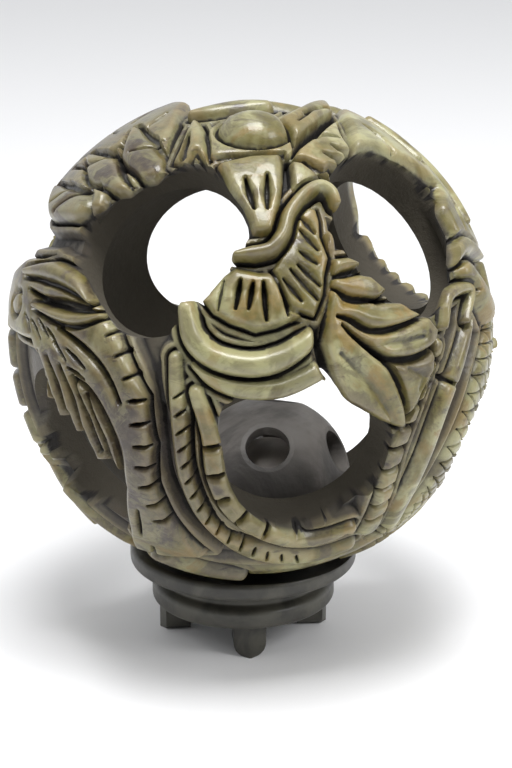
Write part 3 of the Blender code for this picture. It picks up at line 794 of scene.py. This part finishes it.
# %% [markdown]
# From heights to stone
# The skin is a ball of very many triangles, each corner pushed out to the carving's height. The hollow and
# the twelve openings are then cut out with solids. Each opening is a tapered plug, held back where a figure
# hangs over it. Only the side openings of the back keep round rims. Last, Decimate thins the mesh, and
# keeps its triangles where the carving is fine.

# %% Solids for cutting
HOLLOW_RADIUS = BALL_RADIUS * GROUND - WALL
RIM_HEIGHT = sqrt(HOLLOW_RADIUS**2 - RIM_RADIUS**2)
MOUTH_HEIGHT = sqrt((BALL_RADIUS * GROUND) ** 2 - MOUTH_RADIUS**2)
TAPER = (MOUTH_RADIUS - RIM_RADIUS) / (MOUTH_HEIGHT - RIM_HEIGHT)
MOST_REACH = 9  # degrees that a figure may hang over a hole
REACH_STEP = 0.25  # degrees from one test for a figure to the next
BLEND_SPOKES = 3  # spokes on either side that an overhang is averaged over
PLUG_ENDS = (0.8 * RIM_HEIGHT, 1.12 * BALL_RADIUS)  # well inside the hollow, and clear of the carving
LEDGE = (0.8, 0.9)  # shares of the ball's radius between which an overhanging figure is undercut
HOLE_SIDES = 144
BALL_DIVISIONS = 9


def make_object(name, bm):
    mesh = bpy.data.meshes.new(name)
    bm.to_mesh(mesh)
    bm.free()
    return link(name, mesh)


def ball_object(name, radius, divisions, middle=(0, 0, 0)):
    bm = bmesh.new()
    bmesh.ops.create_icosphere(bm, subdivisions=divisions, radius=radius)
    bmesh.ops.translate(bm, verts=bm.verts, vec=middle)
    return make_object(name, bm)


def points_of(mesh):
    points = np.empty(3 * len(mesh.vertices))
    mesh.vertices.foreach_get("co", points)
    return points.reshape(-1, 3)


def loft(name, rings):
    """A closed solid through rings of as many points each, capped at both ends."""
    bm = bmesh.new()
    rows = [[bm.verts.new(point) for point in ring] for ring in rings]
    for low, high in zip(rows, rows[1:]):
        for i, j in enumerate([*range(1, len(low)), 0]):
            bm.faces.new((low[i], low[j], high[j], high[i]))
    bm.faces.new(rows[0])
    bm.faces.new(rows[-1])
    bmesh.ops.recalc_face_normals(bm, faces=bm.faces)
    return make_object(name, bm)


def round_spokes(axis, sides):
    """Unit vectors all round an axis."""
    first = unit(np.cross(axis, (0, 0, 1) if abs(axis[2]) < 0.9 else (1, 0, 0)))
    turns = 2 * np.pi * np.arange(sides) / sides
    return np.cos(turns)[:, None] * first + np.sin(turns)[:, None] * np.cross(axis, first)


def on_back(axis):
    """Whether an opening is at the back's sides, where the rims stay round."""
    return axis[1] > 0.2 and axis[2] < 0.9


def hole_plug(number, axis):
    """A tapered plug, round at the hollow, that follows the overhanging figures at the mouth."""
    mouth_angle = degrees(atan2(MOUTH_RADIUS, MOUTH_HEIGHT))
    spokes = round_spokes(axis, HOLE_SIDES)
    steps = np.arange(0, MOST_REACH, REACH_STEP)
    angles = np.radians(mouth_angle - steps)
    ways = np.cos(angles)[None, :, None] * axis + np.sin(angles)[None, :, None] * spokes[:, None, :]
    covered = carved(ways.reshape(-1, 3)).covered.reshape(HOLE_SIDES, len(steps))
    reach = REACH_STEP * np.where(covered, np.arange(1, len(steps) + 1), 0).max(axis=1)
    shifts = range(-BLEND_SPOKES, BLEND_SPOKES + 1)
    reach = sum(np.roll(reach, shift) for shift in shifts) / len(shifts)
    if on_back(axis):
        reach[:] = 0
    held = BALL_RADIUS * (sin(radians(mouth_angle)) - np.sin(np.radians(mouth_angle - reach)))
    low, high = (BALL_RADIUS * share for share in LEDGE)
    rings = []
    for height in (PLUG_ENDS[0], low, high, PLUG_ENDS[1]):
        share = min(max((height - low) / (high - low), 0), 1)
        radius = RIM_RADIUS + TAPER * (height - RIM_HEIGHT) - held * share
        rings.append(height * axis + radius[:, None] * spokes + BALL_CENTRE)
    return loft(f"plug_{number}", rings)


def boolean(thing, others, operation="DIFFERENCE"):
    """Cuts the other solids away from a thing, or joins them to it."""
    group = bpy.data.collections.new(f"{operation.lower()}_{thing.name}")
    for other in others:
        group.objects.link(other)
    modifier = thing.modifiers.new(group.name, "BOOLEAN")
    modifier.operation = operation
    modifier.solver = "MANIFOLD"
    modifier.operand_type = "COLLECTION"
    modifier.collection = group


def made_plain(thing, helpers=()):
    """The object with its modifiers applied, as a plain mesh."""
    evaluated = thing.evaluated_get(bpy.context.evaluated_depsgraph_get())
    mesh = bpy.data.meshes.new_from_object(evaluated)
    thing.modifiers.clear()
    old = thing.data
    thing.data = mesh
    mesh.name = thing.name
    bpy.data.meshes.remove(old)
    for helper in helpers:
        bpy.data.objects.remove(helper, do_unlink=True)
    return thing


print("rim", round(RIM_HEIGHT / MM, 2), "mouth", round(MOUTH_HEIGHT / MM, 2), "mm out from the middle")

# %% The carved ball
MOST_TRIANGLES = 195000


def carved_ball():
    """The pierced shell, and the corners, heights and edges that it had before it was pierced."""
    ball = ball_object("carved_ball", 1, BALL_DIVISIONS)
    ways = unit(points_of(ball.data))
    heights = carved(ways).height
    points = BALL_CENTRE + BALL_RADIUS * heights[:, None] * ways
    ball.data.vertices.foreach_set("co", points.ravel())
    ball.data.update()
    cutters = [ball_object("hollow", HOLLOW_RADIUS, 6, BALL_CENTRE)]
    cutters += [hole_plug(number, axis) for number, axis in enumerate(HOLES)]
    boolean(ball, cutters)
    edges = np.empty(2 * len(ball.data.edges), np.int32)
    ball.data.edges.foreach_get("vertices", edges)
    made_plain(ball, cutters)
    triangles = sum(len(face.vertices) - 2 for face in ball.data.polygons)
    ball.modifiers.new("thin", "DECIMATE").ratio = min(1, MOST_TRIANGLES / triangles)
    made_plain(ball)
    return ball, ways, heights, edges.reshape(-1, 2)


ball, ball_ways, ball_heights, ball_edges = carved_ball()
print("carved ball:", len(ball.data.polygons), "triangles")

# %% [markdown]
# What the stone remembers
# Dirt, old polish and painted shade sit in the grooves, and the high edges are lighter from wear and a
# painted highlight. So each corner of the mesh keeps a few numbers for its material: how far it lies below
# its surroundings, how high it stands, and how deep inside the wall it is. The surroundings are the heights
# averaged along the mesh's own edges.

# %% Numbers for the material


def smoothed(values, edges, rounds):
    """The values averaged with their neighbours', again and again."""
    count = len(values)
    neighbours = np.bincount(edges.ravel(), minlength=count)
    for _ in range(rounds):
        total = np.bincount(edges[:, 0], values[edges[:, 1]], count)
        total += np.bincount(edges[:, 1], values[edges[:, 0]], count)
        values = 0.5 * values + 0.5 * total / neighbours
    return values


def keep(mesh, name, values):
    mesh.attributes.new(name, "FLOAT", "POINT").data.foreach_set("value", values.astype(np.float32))


def remember(ball, ways, heights, edges):
    """Stores height, groove, hollow and depth on the ball's corners."""
    finer = 4 if BALL_DIVISIONS == 9 else 1
    near = smoothed(heights, edges, 10 * finer)
    far = smoothed(near, edges, 30 * finer)
    tree = KDTree(len(ways))
    for number, way in enumerate(ways):
        tree.insert(way, number)
    tree.balance()
    points = points_of(ball.data) - BALL_CENTRE
    out = np.linalg.norm(points, axis=1)
    match = np.array([tree.find(way)[1] for way in points / out[:, None]])
    keep(ball.data, "stands", out / BALL_RADIUS)
    keep(ball.data, "groove", (near - heights)[match])
    keep(ball.data, "hollow", (far - heights)[match])
    keep(ball.data, "inside", heights[match] - out / BALL_RADIUS)
    return match


match = remember(ball, ball_ways, ball_heights, ball_edges)
print("remembered", len(match), "corners")

# %% [markdown]
# The loose balls
# The dark ball follows a rule: a sphere with a flat and a hole at each corner of an icosahedron, and a
# hollow. Geometry Nodes put one cutter on each of the twelve corners, turned outwards, and take them all
# away at once. Its sizes are the tree's named inputs.

# %% A helper for Geometry Nodes trees
INNER_RADIUS = 13.2 * MM
INNER_FACET = 0.7 * MM
INNER_HOLE_RADIUS = 3.5 * MM
INNER_WALL = 3.2 * MM
CORE_RADIUS = INNER_RADIUS - INNER_WALL - 1.9 * MM


class Recipe:
    """A Geometry Nodes tree with named sizes, used once and then made plain. Its stone is put on later."""

    def __init__(self, name, **sizes):
        self.tree = bpy.data.node_groups.new(name, "GeometryNodeTree")
        self.tree.interface.new_socket("Shape", in_out="OUTPUT", socket_type="NodeSocketGeometry")
        self.sizes = {}
        for label, value in sizes.items():
            kind = "NodeSocketFloat" if isinstance(value, float) else "NodeSocketInt"
            socket = self.tree.interface.new_socket(label, in_out="INPUT", socket_type=kind)
            self.sizes[socket.identifier] = value
        self.given = self.tree.nodes.new("NodeGroupInput")
        self.result = self.tree.nodes.new("NodeGroupOutput")

    def size(self, label):
        return self.given.outputs[label]

    def node(self, kind, settings=(), sockets=(), output=0):
        made = self.tree.nodes.new(kind)
        for name, value in dict(settings).items():
            setattr(made, name, value)
        for name, value in dict(sockets).items():
            for one in value if isinstance(value, list) else [value]:
                if isinstance(one, bpy.types.NodeSocket):
                    self.tree.links.new(one, made.inputs[name])
                else:
                    made.inputs[name].default_value = one
        return made.outputs[output]

    def math(self, operation, first, second):
        return self.node("ShaderNodeMath", {"operation": operation}, {0: first, 1: second})

    def make(self, name, shape):
        shape = self.node("GeometryNodeRealizeInstances", (), {"Geometry": shape})
        shape = self.node("GeometryNodeSetMaterial", (), {"Geometry": shape})
        self.tree.links.new(shape, self.result.inputs["Shape"])
        thing = link(name, bpy.data.meshes.new(name))
        modifier = thing.modifiers.new(self.tree.name, "NODES")
        modifier.node_group = self.tree
        for identifier, value in self.sizes.items():
            modifier[identifier] = value
        return made_plain(thing)


print("recipes make plain meshes")

# %% The dark ball


def turn_from(first, second):
    """The turn that carries Blender's own icosahedron to corners near the two given places."""
    pole, aim = Vector(direction(first)), Vector(direction(second))
    over = (aim - aim.dot(pole) * pole).normalized()
    wanted = Matrix((over, pole.cross(over), pole)).transposed()
    bm = bmesh.new()
    bmesh.ops.create_icosphere(bm, subdivisions=1, radius=1)
    upper = max((vertex.co for vertex in bm.verts if 0.1 < vertex.co.z < 0.9), key=lambda co: co.x)
    own_over = Vector((upper.x, upper.y, 0)).normalized()
    own = Matrix((own_over, Vector((0, 0, 1)).cross(own_over), Vector((0, 0, 1)))).transposed()
    bm.free()
    return (wanted @ own.transposed()).to_euler()


def pierced_ball():
    recipe = Recipe(
        "twelve_holes",
        Radius=INNER_RADIUS,
        Facet=INNER_FACET,
        Hole=INNER_HOLE_RADIUS,
        Wall=INNER_WALL,
        Fineness=6,
    )
    radius = recipe.size("Radius")
    fine = recipe.size("Fineness")
    body = recipe.node("GeometryNodeMeshIcoSphere", (), {"Radius": radius, "Subdivisions": fine})
    room = recipe.math("SUBTRACT", radius, recipe.size("Wall"))
    hollow = recipe.node("GeometryNodeMeshIcoSphere", (), {"Radius": room, "Subdivisions": fine})
    corners = recipe.node("GeometryNodeMeshIcoSphere", (), {"Radius": radius, "Subdivisions": 1})
    turn = turn_from((-2, 43), (70, 30))
    corners = recipe.node("GeometryNodeTransform", (), {"Geometry": corners, "Rotation": turn})
    outward = recipe.node("GeometryNodeInputPosition")
    facing = recipe.node("FunctionNodeAlignRotationToVector", {"axis": "Z"}, {"Vector": outward})
    bore = {"Vertices": 64, "Radius": recipe.size("Hole"), "Depth": radius}
    bore = recipe.node("GeometryNodeMeshCylinder", (), bore)
    plane = {"Vertices": 64, "Radius": radius, "Depth": radius}
    plane = recipe.node("GeometryNodeMeshCylinder", (), plane)
    rise = recipe.math("SUBTRACT", recipe.math("MULTIPLY", radius, 0.5), recipe.size("Facet"))
    lift = recipe.node("ShaderNodeCombineXYZ", (), {"Z": rise})
    plane = recipe.node("GeometryNodeTransform", (), {"Geometry": plane, "Translation": lift})
    cutters = []
    for shape in (bore, plane):
        spread = {"Points": corners, "Instance": shape, "Rotation": facing}
        spread = recipe.node("GeometryNodeInstanceOnPoints", (), spread)
        cutters.append(recipe.node("GeometryNodeRealizeInstances", (), {"Geometry": spread}))
    whole = recipe.node(
        "GeometryNodeMeshBoolean",
        {"operation": "DIFFERENCE", "solver": "EXACT"},
        {"Mesh 1": body, "Mesh 2": [hollow, *cutters], "Self Intersection": True},
    )
    return recipe.make("dark_ball", whole)


def moved(thing, offset):
    thing.data.transform(Matrix.Translation(Vector(offset)))
    return thing


def shaded_smooth(thing, sharpest=40):
    """Smooth all over, but for edges sharper than the given degrees."""
    thing.data.shade_smooth()
    thing.data.set_sharp_from_angle(angle=radians(sharpest))
    return thing


dark = pierced_ball()
print("dark ball:", len(dark.data.polygons), "faces")

# %% [markdown]
# The stand
# It was turned on a lathe: a plate with a dished top, a dark neck and a foot plate. So its body is one
# profile spun round. Small curves replace the profile's corners, because a bare edge catches no light. The
# four feet are one foot, which Geometry Nodes repeat at even turns round the upright axis.

# %% A profile with soft corners
PLATE_RADIUS = SEAT_RADIUS + 0.4 * MM
NECK_RADIUS = 13.6 * MM
FOOT_PLATE_RADIUS = 15.2 * MM
FOOT_HEIGHT = 5.5 * MM
NECK_FOOT = 8.7 * MM
NECK_TOP = 12.1 * MM
FOOT_REACH = 14.0 * MM
FOOT_WIDTH = 5.3 * MM
FOOT_DEPTH = 5.0 * MM
FOOT_KEEL = 0.9 * MM
FOOT_FLAT = 0.3 * MM


def softened(profile, radius, steps=5):
    """The profile's points, with a small curve in place of each corner."""
    points = [np.array(profile[0])]
    for before, corner, after in zip(profile, profile[1:], profile[2:]):
        corner = np.array(corner)
        legs = [np.array(other) - corner for other in (before, after)]
        reach = [min(radius / np.linalg.norm(leg), 0.45) for leg in legs]
        start, end = (corner + share * leg for share, leg in zip(reach, legs))
        for t in np.linspace(0, 1, steps):
            points.append((1 - t) ** 2 * start + 2 * t * (1 - t) * corner + t**2 * end)
    return [*points, np.array(profile[-1])]


def turned(name, profile, sides=160):
    """The profile spun round the upright axis."""
    bm = bmesh.new()
    points = [bm.verts.new((radius, 0, height)) for radius, height in profile]
    for a, b in zip(points, points[1:]):
        bm.edges.new((a, b))
    axis = {"axis": (0, 0, 1), "cent": (0, 0, 0), "angle": 2 * pi, "steps": sides}
    bmesh.ops.spin(bm, geom=[*bm.verts, *bm.edges], use_merge=True, **axis)
    bmesh.ops.remove_doubles(bm, verts=bm.verts, dist=0.01 * MM)
    bmesh.ops.recalc_face_normals(bm, faces=bm.faces)
    return make_object(name, bm)


PROFILE = [
    (0, SEAT_HEIGHT),
    (PLATE_RADIUS - 0.5 * MM, SEAT_HEIGHT),
    (PLATE_RADIUS, SEAT_HEIGHT - 0.5 * MM),
    (PLATE_RADIUS, NECK_TOP + 0.5 * MM),
    (PLATE_RADIUS - 0.5 * MM, NECK_TOP),
    (NECK_RADIUS + 0.5 * MM, NECK_TOP - 0.5 * MM),
    (NECK_RADIUS, NECK_FOOT + 0.5 * MM),
    (FOOT_PLATE_RADIUS - 0.5 * MM, NECK_FOOT),
    (FOOT_PLATE_RADIUS, NECK_FOOT - 0.5 * MM),
    (FOOT_PLATE_RADIUS, FOOT_HEIGHT + 0.5 * MM),
    (FOOT_PLATE_RADIUS - 0.5 * MM, FOOT_HEIGHT),
    (0, FOOT_HEIGHT),
]


def one_foot():
    """A foot at the front of the ring: a tongue with a round end, and a ridge down its outer face."""
    half = FOOT_WIDTH / 2
    middle = half - FOOT_FLAT
    turns = np.linspace(0, asin(middle / half), 12)
    right = [(half * cos(a), middle - half * sin(a)) for a in turns[::-1]] + [(half, FOOT_HEIGHT + MM)]
    outline = right + [(-x, z) for x, z in right[::-1]]
    rings = []
    for reach, width in ((-FOOT_DEPTH, 1), (-FOOT_KEEL, 1), (0, 0.15)):
        rings.append([(width * x, -(FOOT_REACH + reach), z) for x, z in outline])
    return loft("foot", rings)


def ring_of_feet(foot):
    recipe = Recipe("feet_on_a_ring", Feet=4, Turn=radians(5))
    spots = {"Count": recipe.size("Feet"), "Offset": (0, 0, 0)}
    spots = recipe.node("GeometryNodeMeshLine", (), spots)
    number = recipe.node("GeometryNodeInputIndex")
    step = recipe.math("DIVIDE", 2 * pi, recipe.size("Feet"))
    angle = recipe.math("ADD", recipe.math("MULTIPLY", number, step), recipe.size("Turn"))
    turn = recipe.node("ShaderNodeCombineXYZ", (), {"Z": angle})
    shape = recipe.node("GeometryNodeObjectInfo", (), {"Object": foot}, output="Geometry")
    spread = {"Points": spots, "Instance": shape, "Rotation": turn}
    return recipe.make("feet", recipe.node("GeometryNodeInstanceOnPoints", (), spread))


def stand():
    body = turned("turned_stand", softened(PROFILE, 0.4 * MM))
    foot = one_foot()
    feet = ring_of_feet(foot)
    boolean(body, [feet], "UNION")
    made_plain(body, (foot, feet))
    moved(body, (STAND_SHIFT, 0, 0))
    dish = ball_object("dish", SEAT_SPHERE, 6, BALL_CENTRE)
    boolean(body, [dish])
    return made_plain(body, (dish,))


rest = stand()
print("stand:", len(rest.data.polygons), "faces")

# %% [markdown]
# The smallest ball
# It shows only as a pale dome in the dark ball's largest hole. A sphere would do, but this one was cut by
# hand, so its surface wavers a little.

# %% The smallest ball


def wavering_ball(name, radius, divisions=6, waver=0.01):
    """A ball that is never quite round."""
    ball = ball_object(name, radius, divisions)
    points = points_of(ball.data)
    ways = unit(points)
    waves = (((1, 2, 0), 0), ((0, 1, -2), 2), ((2, 0, 1), 4))
    lumps = sum(np.sin(ways @ np.array(bend) * 4 + shift) for bend, shift in waves)
    points *= (1 - waver * (3 + lumps) / 6)[:, None]
    ball.data.vertices.foreach_set("co", points.ravel())
    return ball


CORE_DROP = 1.6 * MM  # how far its middle lies under the dark ball's
core = wavering_ball("core", CORE_RADIUS)
box_low, box_high = (np.array(corner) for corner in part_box("inner_ball"))
inner_seat = RIM_HEIGHT - sqrt((INNER_RADIUS + TOUCH_GAP) ** 2 - RIM_RADIUS**2)
INNER_MIDDLE = BALL_CENTRE + inner_seat * HOLES[np.argmin(HOLES[:, 2])]
moved(dark, INNER_MIDDLE)
moved(core, INNER_MIDDLE - (0, 0, CORE_DROP))
print("the dark ball's middle:", INNER_MIDDLE, "and its node's:", (box_low + box_high) / 2)

# %% [markdown]
# Stone
# Soft stone of this kind is pale olive, clouded with ochre and brown. The tops were polished and waxed, the
# ground between them was left matt from the chisel, and the grooves hold dark dirt and painted shade.
# Painted light brightens the fan, the crown's right side and the right creature. Painted shade darkens the
# walls of the openings and the hollow. Raised edges are lighter from wear and a painted highlight. The
# crown's left side and the left creature are the brownest.

# %% The carved ball's stone
JADE = (0.29, 0.28, 0.14)
OLIVE = (0.11, 0.094, 0.022)
OCHRE = (0.19, 0.122, 0.026)
UMBER = (0.036, 0.023, 0.013)
BARE = (0.05, 0.041, 0.034)
# Near black for dirt and painted shade in the grooves and hollows
DIRT_AND_PAINTED_SHADE = (0.008, 0.006, 0.005)
# Painted shade on the walls of the openings and in the hollow
PAINTED_SHADE_ON_WALLS = (0.052, 0.044, 0.030)
GRAINS = (0.36, 0.32, 0.17)
# Wear and a painted highlight on the raised edges
WORN_AND_HIGHLIT_EDGES = (0.32, 0.26, 0.14)
# Places where pools of painted light brighten the stone: the fan, the crown's right side and the right
# creature
PAINTED_LIGHT_PLACES = (((0, 15), 26 * MM, 0.7), ((60, 58), 30 * MM, 0.8), ((72, -30), 30 * MM, 0.7))
BROWN_PLACES = (((-85, 48), 34 * MM, 0.6), ((-38, -12), 28 * MM, 0.75))


def around(finish, place, reach):
    """1 at a place on the ball, falling to 0 at reach metres from it."""
    ends = {0: finish.place, 1: tuple(BALL_CENTRE + BALL_RADIUS * direction(place))}
    far = finish.node("ShaderNodeVectorMath", {"operation": "DISTANCE"}, ends, "Value")
    return 1 - far.between(0.25 * reach, reach)


def near_places(finish, places):
    """The sum of what lies around several places, each with its own reach and strength."""
    return sum(around(finish, place, reach) * strength for place, reach, strength in places)


def carved_stone():
    finish = Finish("waxed_olive_stone", Coat_Roughness=0.12)
    groove = finish.attribute("groove")
    hollow = finish.attribute("hollow")
    stands = finish.attribute("stands")
    inside = finish.attribute("inside").between(0.02, 0.06)
    zones = finish.noise(28, 2, 0.5)
    clouds = finish.noise(70, 4, 0.6, 0.6)
    patches = finish.noise(130, 5, 0.65, 0.8)
    veins = finish.noise(110, 5, 0.7, 1.5, (1, 1, 3))
    grain = finish.noise(620, 5, 0.7)
    # Painted light: brighter pools round the listed places, added to the green tone and so to the paler
    # stone
    painted_light = near_places(finish, PAINTED_LIGHT_PLACES)
    green_tone_and_painted_light = zones.between(0.42, 0.58) * 0.4 + painted_light
    pale_tone_and_painted_light = (clouds.between(0.45, 0.60) * (0.5 + green_tone_and_painted_light)).clamp()
    colour = finish.blend(pale_tone_and_painted_light, OLIVE, JADE)
    warm = patches.between(0.50, 0.62) * (1 - zones.between(0.42, 0.60) * 0.5)
    colour = finish.blend(warm * 0.8, colour, OCHRE)
    dark = (1 - patches).between(0.51, 0.62) * 0.7 + veins.between(0.54, 0.66) * 0.6
    # The brown patches thin out where light is painted
    dark = ((dark + near_places(finish, BROWN_PLACES)) * (1 - painted_light * 0.6)).clamp()
    colour = finish.blend(dark, colour, UMBER)
    colour = finish.blend(grain.between(0.4, 0.8) * 0.2, colour, GRAINS)
    low = 1 - stands.between(0.925, 0.96)
    colour = finish.blend(low * 0.85, colour, BARE)
    # Dirt and painted shade: the deeper a groove or hollow, the darker
    deep = (groove.between(0.0012, 0.009) * 0.95 + hollow.between(0.010, 0.04) * 0.6).clamp()
    colour = finish.blend(deep * (0.75 + grain * 0.4), colour, DIRT_AND_PAINTED_SHADE)
    # Raised edges: wear and a painted highlight
    wear_and_painted_highlight = (groove * -1).between(0.002, 0.010) * (0.4 + patches * 0.5)
    colour = finish.blend(wear_and_painted_highlight * 0.4, colour, WORN_AND_HIGHLIT_EDGES)
    # Painted shade darkens everything deep inside the wall
    colour = finish.blend(inside, colour, PAINTED_SHADE_ON_WALLS)
    matt = (low * 0.5 + deep * 0.3 + inside * 0.5).clamp()
    rough = 0.3 + matt * 0.45 + grain * 0.16
    bump = finish.bump(grain * (0.5 + matt) + veins * 0.4, 0.2 * MM)
    return finish.paint(Base_Color=colour, Roughness=rough, Coat_Weight=(1 - matt) * 0.35, Normal=bump)


# %% Plainer stones for the loose balls and the stand


def plain_stone(name, light, shade, roughness, scale=160, depth=0.08):
    """Stone of two near tones, clouded and finely pitted."""
    finish = Finish(name, Coat_Roughness=0.25)
    clouds = finish.noise(scale, 4, 0.6, 0.5)
    grain = finish.noise(6 * scale, 3, 0.6)
    colour = finish.blend(clouds.between(0.35, 0.65), shade, light)
    bump = finish.bump(grain * 0.6 + clouds, depth * MM)
    return finish.paint(Base_Color=colour, Roughness=roughness + grain * 0.15, Normal=bump)


CHARCOAL = plain_stone("charcoal_stone", (0.27, 0.25, 0.23), (0.115, 0.107, 0.1), 0.4, 90, 0.3)
GREY = plain_stone("grey_core_stone", (0.42, 0.38, 0.34), (0.3, 0.27, 0.24), 0.45)
STAND_STONE = plain_stone("stand_stone", (0.068, 0.065, 0.05), (0.028, 0.026, 0.021), 0.35)
print("stones:", [stone.name for stone in (CHARCOAL, GREY, STAND_STONE)])

# %% [markdown]
# Dressing the nodes
# Each finished piece takes its stone, rides the body that its CAD node is on and stands in for that node.
# The dark ball keeps its small edges sharp, so that its flats catch the light one by one.

# %% Stone on every piece
DRESSED = (
    (ball, carved_stone(), "outer_ball", "green_stone"),
    (dark, CHARCOAL, "inner_ball", "dark_stone"),
    (core, GREY, "core_ball", "core_stone"),
    (rest, STAND_STONE, "stand", "stand_stone"),
)
for piece, material, node, slot in DRESSED:
    piece.data.materials.clear()
    piece.data.materials.append(material)
    shaded_smooth(piece, 12 if piece is dark else 40)
    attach(piece, "root")
    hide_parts(node)
print("dressed:", [piece.name for piece, *_ in DRESSED])

# %% [markdown]
